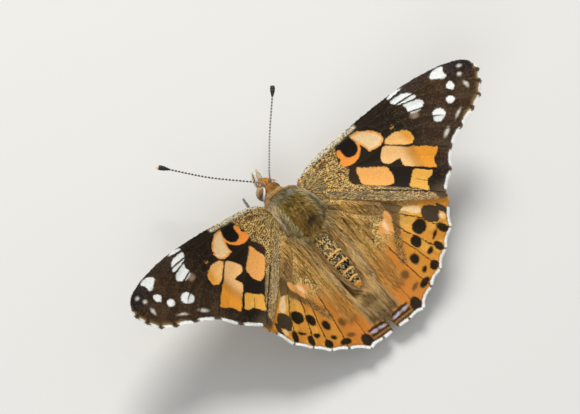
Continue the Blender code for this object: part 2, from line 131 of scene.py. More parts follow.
def noise(x, y, size, seed):
    """Smooth noise from 0 to 1 whose lumps are of the given size."""
    u, v = x / size, y / size
    i, j = np.floor(u), np.floor(v)
    f, g = u - i, v - j
    f, g = f * f * (3 - 2 * f), g * g * (3 - 2 * g)
    low = scatter(i, j, seed) * (1 - f) + scatter(i + 1, j, seed) * f
    high = scatter(i, j + 1, seed) * (1 - f) + scatter(i + 1, j + 1, seed) * f
    return low * (1 - g) + high * g


def ramp(value, start, end):
    """0 before start, 1 after end, smooth between."""
    t = np.clip((value - start) / (end - start), 0.0, 1.0)
    return t * t * (3 - 2 * t)


def rgb(red, green, blue):
    """A display colour, 0 to 255, as the linear colour that a shader takes."""
    c = np.array((red, green, blue), float) / 255
    return np.where(c <= 0.04045, c / 12.92, ((c + 0.055) / 1.055) ** 2.4)


def paint(colours, colour, cover):
    """Lays a colour, or one for each point, over the ones already there, by its cover from 0 to 1."""
    cover = np.broadcast_to(cover, len(colours))[:, None]
    return colours * (1 - cover) + colour * cover


class Coat:
    """Colours of many points or hairs, painted over layer by layer. cells number the scales or hairs."""

    def __init__(self, ground, cells):
        self.cells = cells
        self.colours = np.zeros((len(cells[0]), 3)) + ground

    def lay(self, colour, cover):
        self.colours = paint(self.colours, colour, cover)

    def speckle(self, cover, seed, tones, shares):
        """Scales of several tones, the first ones mostly on every other cell of a chequer."""
        u, v = self.cells
        pick = 0.6 * scatter(u, v, seed) + 0.4 * np.mod(u + v, 2)
        limit = 0.0
        for tone, share in zip(tones, shares):
            self.lay(tone, cover * ((pick >= limit) & (pick < limit + share)))
            limit += share


def mixed(tones, cells, seed):
    """One of several colours for each hair."""
    pick = np.floor(scatter(*cells, seed) * len(tones)).astype(int)
    return np.array(tones)[np.clip(pick, 0, len(tones) - 1)]


def random_turn(cells, seed):
    """Three numbers from -0.5 to 0.5 for each pair of cell numbers."""
    return np.stack([scatter(*cells, seed + i) - 0.5 for i in range(3)], axis=1)


# Directions, curves and plan shapes

def unit(v):
    """The same directions with a length of 1."""
    return v / np.maximum(np.linalg.norm(v, axis=-1, keepdims=True), 1e-9)


def quarter_turned(v):
    return np.stack([-v[:, 1], v[:, 0]], axis=1)


def swung(v, angle):
    """Plan directions, each turned by its own angle."""
    return v * np.cos(angle)[:, None] + quarter_turned(v) * np.sin(angle)[:, None]


def run_along(line):
    """Distance from the start of a line to each of its points."""
    return np.concatenate([[0.0], np.cumsum(np.linalg.norm(np.diff(line, axis=0), axis=1))])


def curve_through(points, count):
    """Evenly spaced points on a smooth curve through the given ones."""
    given = [np.array(p, float) for p in points]
    padded = [2 * given[0] - given[1]] + given + [2 * given[-1] - given[-2]]
    fine = []
    for a, b, c, d in zip(padded, padded[1:], padded[2:], padded[3:]):
        for t in np.linspace(0.0, 1.0, CURVE_STEPS, endpoint=False):
            bend = (2 * a - 5 * b + 4 * c - d) * t**2 + (3 * b - a - 3 * c + d) * t**3
            fine.append(0.5 * (2 * b + (c - a) * t + bend))
    fine = np.array(fine + [given[-1]])
    along = run_along(fine)
    wanted = np.linspace(0.0, along[-1], count)
    return np.stack([np.interp(wanted, along, fine[:, i]) for i in range(fine.shape[1])], axis=1)


def line_distance(x, y, line):
    """Distance of each point from a line of points, and how far along the line the nearest place is."""
    best = np.full(len(x), 1e9)
    place = np.zeros(len(x))
    lengths = np.linalg.norm(np.diff(line, axis=0), axis=1)
    before = 0.0
    for (ax, ay), (bx, by), length in zip(line, line[1:], lengths):
        t = np.clip(((x - ax) * (bx - ax) + (y - ay) * (by - ay)) / max(length**2, 1e-12), 0.0, 1.0)
        away = np.hypot(x - ax - t * (bx - ax), y - ay - t * (by - ay))
        nearer = away < best
        best[nearer] = away[nearer]
        place[nearer] = before + t[nearer] * length
        before += length
    return best, place


def is_inside(x, y, outline):
    """Which points lie within a closed outline."""
    found = np.zeros(len(x), bool)
    for (ax, ay), (bx, by) in zip(outline, np.roll(outline, -1, axis=0)):
        if ay == by:
            continue
        found ^= ((ay > y) != (by > y)) & (x < ax + (y - ay) / (by - ay) * (bx - ax))
    return found


def patch(x, y, corners, soft=0.05):
    """Cover of a smooth closed shape drawn through its corners."""
    corners = np.array(corners)
    low, high = corners.min(axis=0) - 0.6, corners.max(axis=0) + 0.6
    near = (x > low[0]) & (x < high[0]) & (y > low[1]) & (y < high[1])
    cover = np.zeros(len(x))
    if not near.any():
        return cover
    wrapped = np.vstack([corners[-2:], corners, corners[:3]])
    line = curve_through(wrapped, 5 * len(wrapped))
    start = np.argmin(np.linalg.norm(line[: len(line) // 2] - corners[0], axis=1))
    stop = start + np.argmin(np.linalg.norm(line[start + 8 :] - corners[0], axis=1)) + 8
    loop = np.vstack([line[start:stop], line[start : start + 1]])
    away, _ = line_distance(x[near], y[near], loop)
    away[is_inside(x[near], y[near], loop[:-1])] *= -1
    cover[near] = 1 - ramp(away, -soft, soft)
    return cover


def spot(x, y, centre, size, turn=0.0, soft=0.05, power=2.0):
    """Cover of an oval, turned by an angle in degrees."""
    c, s = math.cos(math.radians(turn)), math.sin(math.radians(turn))
    dx, dy = x - centre[0], y - centre[1]
    u, v = np.abs(dx * c + dy * s) / size[0], np.abs(dy * c - dx * s) / size[1]
    reach = (u**power + v**power) ** (1 / power)
    return 1 - ramp((reach - 1) * min(size), -soft, soft)


def streak(x, y, points, half, soft=0.05):
    """Cover of a thin curved line."""
    away, _ = line_distance(x, y, curve_through(points, 6 * len(points)))
    return 1 - ramp(away - half, -soft, soft)


def scalloped(ends, depths, centre, per_span):
    """The margin from vein end to vein end, drawn in between them by the given depths."""
    line = []
    middle = np.array(centre)
    for a, b, depth in zip(ends, ends[1:], depths):
        a, b = np.array(a), np.array(b)
        normal = np.array([-(b - a)[1], (b - a)[0]]) / np.linalg.norm(b - a)
        if normal @ (middle - a) < 0:
            normal = -normal
        for t in np.linspace(0.0, 1.0, per_span, endpoint=False):
            line.append(a + (b - a) * t + normal * depth * math.sin(math.pi * t))
    line.append(np.array(ends[-1]))
    return np.array(line)


# Wing surfaces

def fore_height(x, y):
    """Height of the forewing's middle surface over points of the plan."""
    rise = -0.735 + 0.2582 * x - 0.1027 * y - 0.0003 * x * x - 0.0076 * x * y + 0.0054 * y * y
    return rise - 0.45 * np.exp(-(((x - WING_ROOT) / 1.6) ** 2))


def hind_height(x, y):
    """Height of the hindwing: close below the forewing, and hollowed beside the abdomen."""
    rise = 0.078 + 0.1626 * x - 0.1882 * y + 0.01 * x * x - 0.0068 * x * y - 0.001 * y * y
    trough = 0.9 * np.exp(-(((x - 1.0) / 1.7) ** 2)) / (1.0 + np.exp((y - 18.5) / 0.9))
    fold = 1.5 * ramp(-x, -1.7, -1.0) * (1 - ramp(y, 14.5, 17.0))
    rise = rise - trough - fold
    under = fore_height(x, y) - OVERLAP_GAP
    blend = 0.12
    return rise - blend * np.logaddexp(0.0, (rise - under) / blend)


def vein_lines(veins):
    return [curve_through(vein, 6 * len(vein)) for vein in veins]


FORE_LINES = vein_lines(FORE_VEINS)
HIND_LINES = vein_lines(HIND_VEINS)


def nearest_vein(x, y, lines):
    away = np.full(len(x), 1e9)
    for line in lines:
        away = np.minimum(away, line_distance(x, y, line)[0])
    return away


def relief(x, y, lines):
    """Small rise of a wing's skin: veins stand up, and the membrane sags between them."""
    away = nearest_vein(x, y, lines)
    return VEIN_RISE * np.exp(-((away / 0.13) ** 2)) - 0.16 * ramp(away, 0.1, 1.3) + 0.08


def fore_skin(x, y):
    return fore_height(x, y) + relief(x, y, FORE_LINES)


def hind_skin(x, y):
    return hind_height(x, y) + relief(x, y, HIND_LINES)


def fore_outline(step):
    lead = curve_through(FORE_COSTA, int(30 / step))
    margin = scalloped(FORE_ENDS, FORE_SCALLOPS, FORE_CENTRE, int(2.6 / step))
    inner = curve_through(FORE_INNER, int(18.5 / step))
    return lead[:-1], margin, inner[1:]


def hind_outline(step):
    lead = curve_through(HIND_COSTA, int(20 / step))
    margin = scalloped(HIND_ENDS, HIND_SCALLOPS, HIND_CENTRE, int(2.8 / step))
    inner = curve_through(HIND_INNER, int(18 / step))
    return lead[:-1], margin, inner[1:]


def drawn_in(margin, centre, depth):
    """The margin line moved inwards by a depth, towards the wing's middle."""
    normal = unit(quarter_turned(np.gradient(margin, axis=0)))
    flip = np.sign(((np.array(centre) - margin) * normal).sum(axis=1))[:, None]
    return margin + normal * flip * depth


# Meshes

def make_object(name, points, faces, made_of, colours, uv, side=1):
    """One mesh object from points in millimetres and faces of three or four corners each."""
    if side < 0:
        points = points * RIGHT
        faces = [np.asarray(f)[:, ::-1] for f in faces]
    mesh = bpy.data.meshes.new(name)
    count = sum(len(f) for f in faces)
    loops = np.concatenate([np.asarray(f, np.int32).ravel() for f in faces])
    sizes = np.concatenate([np.full(len(f), np.asarray(f).shape[1], np.int32) for f in faces])
    starts = np.concatenate([[0], np.cumsum(sizes)[:-1]]).astype(np.int32)
    mesh.vertices.add(len(points))
    place = (points + np.array((0.0, -MIDDLE_Y, BASE_HEIGHT))) * MM
    mesh.vertices.foreach_set("co", place.astype(np.float32).ravel())
    mesh.loops.add(len(loops))
    mesh.loops.foreach_set("vertex_index", loops)
    mesh.polygons.add(count)
    mesh.polygons.foreach_set("loop_start", starts)
    mesh.polygons.foreach_set("loop_total", sizes)
    mesh.polygons.foreach_set("use_smooth", np.full(count, True))
    mesh.update(calc_edges=True)
    layer = mesh.color_attributes.new("Markings", "FLOAT_COLOR", "POINT")
    rgba = np.column_stack([colours, np.ones(len(points))])
    layer.data.foreach_set("color", rgba.astype(np.float32).ravel())
    layer = mesh.uv_layers.new(name="OFBake")
    layer.data.foreach_set("uv", uv[loops].astype(np.float32).ravel())
    mesh.validate()
    mesh.materials.append(made_of)
    obj = bpy.data.objects.new(name, mesh)
    bpy.context.scene.collection.objects.link(obj)
    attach(obj, "root")
    return obj


def ring_quads(rings, sides):
    """Quads between closed rings of points, and the number of each point and of the next one in its ring."""
    grid = np.arange(rings * sides).reshape(rings, sides)
    after = np.roll(grid, -1, axis=1)
    return np.stack([grid[:-1], after[:-1], after[1:], grid[1:]], axis=-1).reshape(-1, 4), grid, after


def blade_quads(count):
    """Two quads for each flat blade of six corners."""
    first = np.arange(count)[:, None] * 6
    return np.vstack([first + np.array(quad) for quad in ((0, 2, 3, 1), (2, 4, 5, 3))])


def marked_material(name, roughness, grain, depth, specular=0.3, shade=0.25):
    """A matt surface that takes its colour from the painted markings, with a fine grain of its own."""
    made = bpy.data.materials.new(name)
    made.use_nodes = True
    tree = made.node_tree
    shader = tree.nodes["Principled BSDF"]
    markings, where, grains, levels, tint, bump = (
        tree.nodes.new("ShaderNode" + kind)
        for kind in ("Attribute", "TexCoord", "TexNoise", "MapRange", "VectorMath", "Bump")
    )
    markings.attribute_name = "Markings"
    tint.operation = "SCALE"
    for node, socket, value in (
        (shader, "Roughness", roughness), (shader, "Specular IOR Level", specular),
        (grains, "Scale", 1.0 / (grain * MM)), (grains, "Detail", 3.0),
        (levels, "From Min", 0.3), (levels, "From Max", 0.7),
        (levels, "To Min", 1.0 - shade), (levels, "To Max", 1.0 + shade),
        (bump, "Strength", 1.0), (bump, "Distance", depth * MM),
    ):
        node.inputs[socket].default_value = value
    for start, output, end, socket in (
        (where, "Object", grains, "Vector"), (grains, "Fac", levels, "Value"),
        (markings, "Color", tint, 0), (levels, "Result", tint, "Scale"),
        (tint, "Vector", shader, "Base Color"), (grains, "Fac", bump, "Height"),
        (bump, "Normal", shader, "Normal"),
    ):
        tree.links.new(start.outputs[output], end.inputs[socket])
    return made


# Forewing markings

ORANGE = rgb(224, 150, 48)
CREAM = rgb(228, 198, 148)
WHITE = rgb(232, 234, 230)
BLACK = rgb(26, 21, 15)
BROWN = rgb(66, 48, 32)
VIOLET = rgb(176, 172, 196)

CRESCENT = (
    (11.75, 0.0), (12.5, 0.0), (13.4, 0.4), (14.2, 0.95), (14.9, 1.7), (15.25, 2.45), (15.1, 3.15),
    (14.3, 3.47), (13.4, 3.4), (12.65, 3.1), (12.55, 2.3), (12.3, 1.6), (11.95, 0.9),
)
CELL_RING = (
    (9.5, 0.25), (9.85, 1.0), (10.0, 2.0), (11.0, 2.2), (11.75, 1.8), (12.0, 1.0), (12.35, 1.5),
    (11.9, 2.2), (11.1, 2.75), (10.2, 3.0), (9.4, 2.9), (8.75, 2.5), (8.6, 2.0), (8.95, 1.4), (9.0, 0.7),
)
BASAL_PIECE = (
    (9.7, 3.8), (10.2, 3.95), (11.0, 4.6), (12.0, 5.4), (12.8, 6.1), (12.95, 6.7), (12.9, 7.5), (12.6, 8.1),
    (12.1, 8.35), (11.4, 8.1), (10.4, 7.3), (9.4, 6.3), (8.95, 5.7), (9.25, 4.8),
)
BIG_PIECE = (
    (12.95, 5.35), (13.4, 4.6), (14.1, 3.95), (14.6, 3.95), (15.6, 4.8), (17.0, 6.0), (18.6, 7.15),
    (20.0, 8.35), (19.7, 8.8), (18.9, 9.1), (18.4, 9.8), (18.0, 10.5), (17.3, 10.0), (16.0, 8.8),
    (14.95, 7.9), (14.9, 7.1), (15.1, 6.4), (14.4, 6.2), (13.6, 6.15),
)
TOP_PIECE = (
    (14.6, 3.6), (15.5, 3.3), (16.5, 3.3), (17.4, 3.5), (18.1, 4.05), (18.5, 4.8), (18.4, 5.5),
    (17.9, 5.95), (17.2, 5.7), (16.2, 5.0), (15.2, 4.2),
)
LOW_PIECE = (
    (13.5, 10.05), (14.3, 9.55), (15.0, 8.95), (15.7, 8.8), (16.4, 9.5), (17.25, 10.4), (16.8, 10.75),
    (16.1, 10.85), (15.6, 11.4), (15.3, 11.95), (14.9, 12.05), (14.2, 11.1),
)
BAR_FRONT = ((19.2, -0.62), (20.4, -0.6), (21.2, -0.33), (21.4, -0.1), (19.2, -0.14))
BAR_MIDDLE = (
    (19.0, 0.1), (20.2, 0.12), (21.1, 0.3), (21.8, 0.8), (22.3, 1.6), (21.5, 1.65), (20.6, 1.4),
    (19.7, 1.05), (19.15, 0.6),
)
BAR_REAR = (
    (20.15, 1.5), (21.3, 1.85), (22.2, 2.2), (22.6, 2.8), (22.2, 3.15), (21.4, 3.35), (20.7, 3.15),
    (20.05, 2.7), (20.2, 2.1),
)
APEX_SPOT = (
    (25.35, 0.9), (26.1, 0.6), (27.0, 0.7), (27.6, 1.0), (27.25, 1.5), (27.25, 2.2), (26.7, 2.25),
    (26.1, 1.8), (25.4, 1.35),
)
LARGE_SPOT = (
    (22.15, 5.6), (22.35, 5.05), (22.6, 4.65), (23.3, 4.6), (24.0, 5.0), (24.1, 5.4), (23.8, 5.9),
    (23.1, 6.2), (22.5, 6.1),
)
SMALL_MARKS = (  # centre, half sizes, turn
    ((29.5, 2.3), (0.32, 0.2), 30), ((28.8, 3.15), (0.28, 0.26), 0), ((28.7, 4.65), (0.26, 0.46), 0),
    ((25.3, 6.85), (0.6, 0.16), -22), ((22.4, 7.75), (0.65, 0.24), -28),
)
FORE_BASE = (
    (0.5, -2.0), (9.3, -1.6), (9.25, -0.1), (8.75, 1.0), (8.5, 2.0), (8.9, 2.9), (8.75, 3.4), (8.0, 4.2),
    (8.1, 5.2), (8.9, 5.95), (10.2, 7.3), (11.6, 8.75), (13.3, 10.4), (14.9, 12.2), (15.2, 13.2),
    (14.5, 14.6), (0.5, 7.0),
)
ROUND_SPOTS = (((26.87, 3.5), (0.58, 0.56)), ((25.67, 4.85), (0.6, 0.52)))  # centre, half sizes
DARK_NOTCH = ((8.0, 4.3), (8.7, 3.5), (9.6, 3.15), (9.6, 3.9), (9.25, 4.7), (8.95, 5.35), (8.15, 5.2))
MARGIN_LINE = scalloped(FORE_ENDS, FORE_SCALLOPS, FORE_CENTRE, 16)
HIND_MARGIN_LINE = scalloped(HIND_ENDS, HIND_SCALLOPS, HIND_CENTRE, 16)
FORE_TICK = 0.62  # from the middle of a dark tick of the fringe to the full white
HIND_TICK = 0.3


def wobbled(x, y, cells, seed):
    """The same places, each moved a little, so that the edges of a marking follow the scales."""
    x = x + 0.07 * (scatter(*cells, seed) - 0.5) + 0.10 * (noise(x, y, 0.45, seed + 1) - 0.5)
    return x, y + 0.07 * (scatter(*cells, seed + 2) - 0.5) + 0.10 * (noise(x, y, 0.45, seed + 3) - 0.5)


def fringe_white(place, ends, line, tick):
    """How white the fringe is at a distance along the margin: dark ticks at the vein ends."""
    white = np.ones(len(place))
    lengths = run_along(line)
    for end in ends:
        here = lengths[np.argmin(np.linalg.norm(line - np.array(end), axis=1))]
        white = np.minimum(white, ramp(np.abs(place - here), tick * 0.6, tick))
    return white


def fore_upper(x, y, cells):
    """Colours of the forewing's upper side at points of the plan. cells number the scales."""
    x, y = wobbled(x, y, cells, 1)
    to_margin, place = line_distance(x, y, MARGIN_LINE)
    coat = Coat(rgb(34, 27, 18), cells)

    # Ground: black-brown, browner towards the tip, with a painted bluish-grey sheen in streaks along the
    # front edge
    coat.lay(BROWN, ramp(x, 17.5, 21.5) * 0.85)
    coat.lay(rgb(84, 64, 44), 0.6 * ramp(noise(x, y, 1.6, 5), 0.5, 0.8) * ramp(x, 17.5, 21))
    coat.lay(rgb(36, 34, 38), ramp(x, 26.3, 29.0) * (1 - ramp(y, 2.0, 4.6)))
    # Painted sheen: bluish-grey streaks laid over the front edge beyond x 18.
    front = (1 - ramp(y, -0.3, 0.9 + 0.03 * x)) * ramp(x, 18.0, 23.0)
    coat.lay(rgb(58, 62, 70), 0.55 * front * noise(x, y * 4, 0.9, 6))
    coat.lay(rgb(92, 76, 56), 0.8 * ramp(y, 11.6, 13.2) * (1 - ramp(x, 18.5, 20.0)))
    coat.speckle(ramp(x, 14.0, 19.0) * 0.6, 7, (rgb(24, 20, 16), rgb(96, 74, 52)), (0.22, 0.14))

    # Speckled base, with a pale front edge
    base = patch(x, y, FORE_BASE, 0.2)
    coat.lay(rgb(158, 130, 74), base)
    coat.lay(rgb(150, 134, 102), base * ramp(y, 3.6, 6.5) * 0.7)
    coat.lay(rgb(134, 126, 88), base * (1 - ramp(x, 2.6, 5.0)) * 0.7)
    tones = (rgb(44, 34, 30), rgb(104, 78, 64), rgb(214, 182, 108), rgb(206, 146, 72))
    coat.speckle(base, 8, tones, (0.28, 0.14, 0.22, 0.14))
    coat.lay(rgb(160, 138, 104), base * ramp(x, 8.5, 11.0) * 0.3)
    coat.lay(rgb(84, 56, 44), spot(x, y, (6.35, 0.55), (0.7, 0.24), -20, 0.1) * 0.75)
    front = (1 - ramp(y, -0.34, -0.16)) * (1 - ramp(x, 12.9, 13.5)) * ramp(x, 3.2, 4.6)
    coat.lay(rgb(190, 178, 146), front)
    coat.speckle(front, 9, (rgb(88, 78, 58), rgb(222, 212, 184)), (0.24, 0.3))
    coat.lay(rgb(40, 34, 24), streak(x, y, ((6.0, -0.1), (9.0, -0.16), (13.4, -0.16)), 0.05) * 0.8)

    # Cell: an orange ring and crescent round a black square
    coat.lay(rgb(232, 146, 60), patch(x, y, CELL_RING))
    crescent = patch(x, y, CRESCENT)
    coat.lay(rgb(228, 160, 84), crescent)
    coat.lay(CREAM, crescent * ramp(patch(x, y, CRESCENT, 0.45), 0.75, 1.0))
    coat.lay(BLACK, spot(x, y, (10.83, 1.0), (1.13, 1.1), 0, 0.09, 2.8))
    coat.lay(rgb(60, 40, 24), spot(x, y, (8.75, 1.4), (0.22, 0.3)) * 0.8)
    coat.lay(rgb(56, 40, 26), patch(x, y, DARK_NOTCH))

    # Orange pieces, some with a fold line
    piece = patch(x, y, BASAL_PIECE)
    coat.lay(rgb(236, 172, 94), piece)
    coat.lay(rgb(196, 128, 60), piece * streak(x, y, ((9.6, 5.2), (11.2, 6.6), (12.7, 7.9)), 0.03) * 0.6)
    piece = patch(x, y, BIG_PIECE)
    distal = ramp(x + 0.25 * y, 17.2, 19.8)
    coat.lay(rgb(234, 186, 122), piece * (1 - distal))
    coat.lay(ORANGE, piece * distal)
    coat.lay(rgb(190, 112, 36), piece * streak(x, y, ((16.5, 6.9), (18.2, 8.3), (19.2, 9.1)), 0.03) * 0.6)
    piece = patch(x, y, TOP_PIECE)
    coat.lay(rgb(230, 180, 108), piece)
    coat.lay(rgb(222, 156, 62), piece * ramp(x, 16.8, 18.0))
    piece = patch(x, y, LOW_PIECE)
    coat.lay(rgb(226, 170, 76), piece)
    coat.lay(rgb(110, 76, 36), piece * streak(x, y, ((14.9, 9.8), (15.5, 10.5), (16.1, 11.1)), 0.05) * 0.8)
    coat.lay(rgb(206, 144, 60), spot(x, y, (17.05, 2.65), (0.3, 0.24)) * 0.8)

    # White bars and spots of the tip
    coat.lay(rgb(150, 126, 102), spot(x, y, (20.5, 3.35), (0.55, 0.5), 0, 0.3) * 0.9)
    for shape in (BAR_FRONT, BAR_MIDDLE, BAR_REAR, APEX_SPOT, LARGE_SPOT):
        coat.lay(WHITE, patch(x, y, shape, 0.08))
    for centre, size in ROUND_SPOTS:
        coat.lay(WHITE, spot(x, y, centre, size))
    for centre, size, turn in SMALL_MARKS:
        coat.lay(rgb(206, 198, 184), spot(x, y, centre, size, turn, 0.16))

    # Dark veins, fringe and front edge
    vein = 1 - ramp(nearest_vein(x, y, FORE_LINES), 0.06, 0.14)
    orange_zone = ramp(x, 9.0, 9.6) * ramp(y + 0.5 * x, 8.6, 9.6)
    coat.lay(rgb(44, 34, 22), vein * orange_zone * (1 - ramp(x, 22.5, 24.0)))
    coat.lay(rgb(60, 48, 30), vein * (1 - orange_zone) * 0.35)
    white = fringe_white(place, FORE_ENDS, MARGIN_LINE, FORE_TICK)
    near = 1 - ramp(to_margin, 0.36, 0.52)
    coat.lay(rgb(178, 140, 84), white * (1 - ramp(to_margin, 0.5, 1.0)) * ramp(x, 24.0, 27.0) * 0.55)
    coat.lay(WHITE, near * white)
    coat.lay(rgb(92, 78, 66), near * (1 - white) * 0.8)
    edge = 1 - ramp(y + 1.0 - 0.006 * (x - 14) ** 2, 0.05, 0.2)
    coat.lay(rgb(148, 128, 104), edge * ramp(x, 23.5, 25.5) * (1 - ramp(x, 29.5, 30.5)) * 0.7)
    return coat.colours


def fore_lower(x, y, cells):
    """Underside of the forewing: the same pattern, paler, with a buff tip."""
    coat = Coat(fore_upper(x, y, cells), cells)
    pale = rgb(214, 166, 124)
    coat.lay(rgb(216, 158, 104), patch(x, y, FORE_BASE, 0.3) * 0.85)
    coat.lay(pale, 0.22)
    tip = ramp(x + 0.4 * y, 25.8, 27.5)
    keep = spot(x, y, (26.9, 3.5), (0.5, 0.5)) + spot(x, y, (28.0, 5.2), (0.5, 0.5))
    coat.lay(rgb(168, 142, 108), tip * (1 - np.clip(keep, 0, 1)) * 0.9)
    coat.lay(rgb(214, 198, 168), tip * ramp(noise(x, y, 0.9, 12), 0.5, 0.7) * 0.7)
    for centre in ((27.4, 3.3), (28.3, 4.6), (28.2, 6.0)):
        coat.lay(rgb(92, 72, 50), spot(x, y, centre, (0.5, 0.5)))
        coat.lay(rgb(70, 84, 108), spot(x, y, centre, (0.2, 0.2), 0, 0.1))
    coat.speckle(0.4, 13, (pale, rgb(120, 86, 56)), (0.16, 0.1))
    return coat.colours


# Hindwing markings

PALE_PATCH = (
    (6.4, 11.9), (7.2, 11.2), (8.1, 10.85), (8.7, 10.25), (9.2, 10.4), (9.2, 11.2), (8.75, 12.0),
    (8.4, 12.8), (7.9, 13.2), (7.3, 12.6),
)
COSTAL_PALE = (
    (10.6, 11.4), (11.6, 11.6), (12.7, 12.35), (12.95, 12.9), (12.5, 13.4), (11.9, 13.0), (11.2, 12.1),
)
DARK_CORNER = (
    (12.5, 13.6), (13.2, 13.0), (14.2, 13.5), (14.7, 14.4), (14.3, 15.3), (13.6, 15.8), (12.9, 15.2),
    (12.4, 14.5),
)
DARK_EDGE = ((14.85, 13.8), (15.4, 14.6), (15.5, 15.5), (15.1, 15.9), (14.8, 15.2), (14.6, 14.5))
ANAL_PATCH = ((4.0, 21.0), (4.8, 20.8), (5.35, 21.3), (5.3, 22.0), (5.2, 22.8), (4.3, 22.9), (3.6, 22.2))
BROWN_SIDE = ((9.4, 11.0), (10.3, 11.6), (9.4, 12.8), (8.8, 13.8), (8.5, 13.2), (9.0, 12.0))
BROWN_FRONT = ((9.3, 9.2), (10.6, 10.4), (11.2, 11.4), (10.3, 11.5), (9.4, 11.0), (9.1, 10.0))
ANAL_BARS = ((20.65, 21.05, 0.9), (21.5, 21.75, 0.9), (22.1, 22.3, 0.8))  # front, rear, cover
DARK_OVALS = (  # centre, half sizes, turn, softness
    ((11.3, 14.6), (0.98, 0.9), 0, 0.1), ((9.75, 15.75), (0.68, 0.82), 0, 0.1),
    ((8.2, 17.25), (0.64, 0.68), 0, 0.16), ((10.5, 17.75), (0.52, 0.36), -15, 0.1),
    ((8.42, 19.05), (0.46, 0.3), -25, 0.12), ((12.3, 16.6), (0.66, 0.22), -30, 0.1),
    ((13.65, 16.65), (0.5, 0.86), -25, 0.1), ((11.8, 18.0), (0.52, 0.74), -15, 0.1),
    ((9.8, 19.45), (0.66, 0.62), -20, 0.1), ((7.35, 20.35), (0.9, 0.46), -10, 0.1),
)
EYESPOTS = (  # centre, size
    ((12.9, 14.9), 0.85), ((10.4, 16.7), 0.6), ((8.5, 18.0), 0.55), ((5.7, 19.4), 0.8),
)
EYESPOT_RINGS = (  # share of the size, colour
    (1.0, rgb(232, 214, 170)), (0.84, rgb(52, 40, 28)), (0.62, rgb(206, 170, 84)), (0.42, rgb(38, 40, 46)),
    (0.26, rgb(96, 128, 156)),
)
BROWN_OVALS = (((5.85, 18.0), (0.55, 0.6), 0, 0.22), ((5.95, 19.95), (0.62, 0.3), -20, 0.16))


def hind_upper(x, y, cells):
    """Colours of the hindwing's upper side at points of the plan."""
    x, y = wobbled(x, y, cells, 21)
    to_margin, place = line_distance(x, y, HIND_MARGIN_LINE)

    # Ground: orange, brown and speckled towards the body and across the middle
    coat = Coat(rgb(206, 138, 50), cells)
    coat.lay(rgb(226, 172, 74), ramp(noise(x, y, 1.3, 25), 0.45, 0.75) * 0.7 * ramp(x, 8.0, 10.0))
    coat.lay(rgb(198, 124, 48), 1 - ramp(x, 5.5, 8.0))
    inner = 1 - ramp(y + 0.35 * x, 13.5, 17.5)
    coat.lay(rgb(172, 138, 76), inner)
    coat.speckle(inner, 26, (rgb(88, 68, 38), rgb(136, 106, 58), rgb(212, 176, 106)), (0.22, 0.14, 0.3))
    coat.lay(rgb(112, 84, 52), spot(x, y, (8.7, 9.1), (2.6, 1.6), 35, 0.7) * 0.7)
    beyond = streak(x, y, ((9.4, 11.4), (8.5, 13.1), (7.6, 14.8), (6.9, 16.4)), 0.5, 0.4)
    coat.lay(rgb(124, 92, 54), beyond * 0.85)
    coat.speckle(beyond, 28, (rgb(64, 48, 32), rgb(176, 130, 70)), (0.36, 0.2))
    trough = (1 - ramp(x, 2.2, 3.0)) * (1 - ramp(y, 20.0, 20.8))
    coat.lay(rgb(186, 148, 92), trough)
    coat.lay(rgb(136, 108, 70), trough * ramp(y, 15.5, 18.0))
    fold = streak(x, y, ((3.0, 8.5), (2.85, 12.0), (2.7, 15.5)), 0.16, 0.14)
    coat.speckle(fold, 27, (rgb(74, 64, 52), rgb(206, 198, 184)), (0.4, 0.3))

    # Pale patches and the dark ones round them
    pale = patch(x, y, PALE_PATCH)
    coat.lay(rgb(112, 80, 42), patch(x, y, BROWN_SIDE) * 0.7)
    coat.lay(rgb(220, 156, 84), pale)
    coat.lay(rgb(240, 206, 160), pale * spot(x, y, (7.8, 11.8), (0.3, 0.8), 15, 0.3) * 0.8)
    coat.lay(rgb(84, 64, 38), patch(x, y, BROWN_FRONT) * 0.8)
    coat.lay(rgb(230, 196, 146), patch(x, y, COSTAL_PALE))
    coat.lay(rgb(66, 54, 38), patch(x, y, DARK_CORNER))
    coat.lay(rgb(66, 54, 38), patch(x, y, DARK_EDGE))
    coat.lay(rgb(240, 206, 150), spot(x, y, (14.5, 15.6), (0.35, 0.5), -20, 0.15) * 0.8)
    for centre, size, turn, soft in DARK_OVALS:
        coat.lay(rgb(38, 28, 16), spot(x, y, centre, size, turn, soft))
    for centre, size, turn, soft in BROWN_OVALS:
        coat.lay(rgb(92, 64, 34), spot(x, y, centre, size, turn, soft) * 0.85)
    coat.lay(rgb(46, 34, 22), patch(x, y, ANAL_PATCH))

    # Inner corner: dark bars and two violet marks
    anal = ramp(y, 20.55, 20.8) * (1 - ramp(x, 3.3, 3.9))
    coat.lay(rgb(150, 104, 54), anal)
    for low, high, share in ANAL_BARS:
        bar = ramp(y, low - 0.1, low + 0.05) * (1 - ramp(y, high, high + 0.15))
        coat.lay(rgb(42, 32, 20), anal * bar * share)
    coat.lay(VIOLET, spot(x, y, (1.35, 21.3), (0.6, 0.2), -4, 0.1) * 0.95)
    coat.lay(VIOLET, spot(x, y, (2.85, 21.2), (0.6, 0.18), -6, 0.1) * 0.9)

    # Dark veins, fringe and the thin line before it
    vein = 1 - ramp(nearest_vein(x, y, HIND_LINES[2:]), 0.04, 0.11)
    thin = vein * ramp(y + 0.45 * x, 15.5, 17.5) * ramp(x, 3.6, 4.4)
    coat.lay(rgb(52, 36, 20), thin * (1 - 0.4 * ramp(-x, -6.0, -4.0)))
    white = fringe_white(place, HIND_ENDS, HIND_MARGIN_LINE, HIND_TICK)
    near = 1 - ramp(to_margin, 0.36, 0.5)
    coat.lay(WHITE, near * (0.25 + 0.75 * white))
    coat.lay(rgb(60, 44, 26), near * (1 - white) * 0.6)
    coat.lay(rgb(70, 48, 26), np.exp(-(((to_margin - 0.56) / 0.09) ** 2)) * 0.45)
    return coat.colours


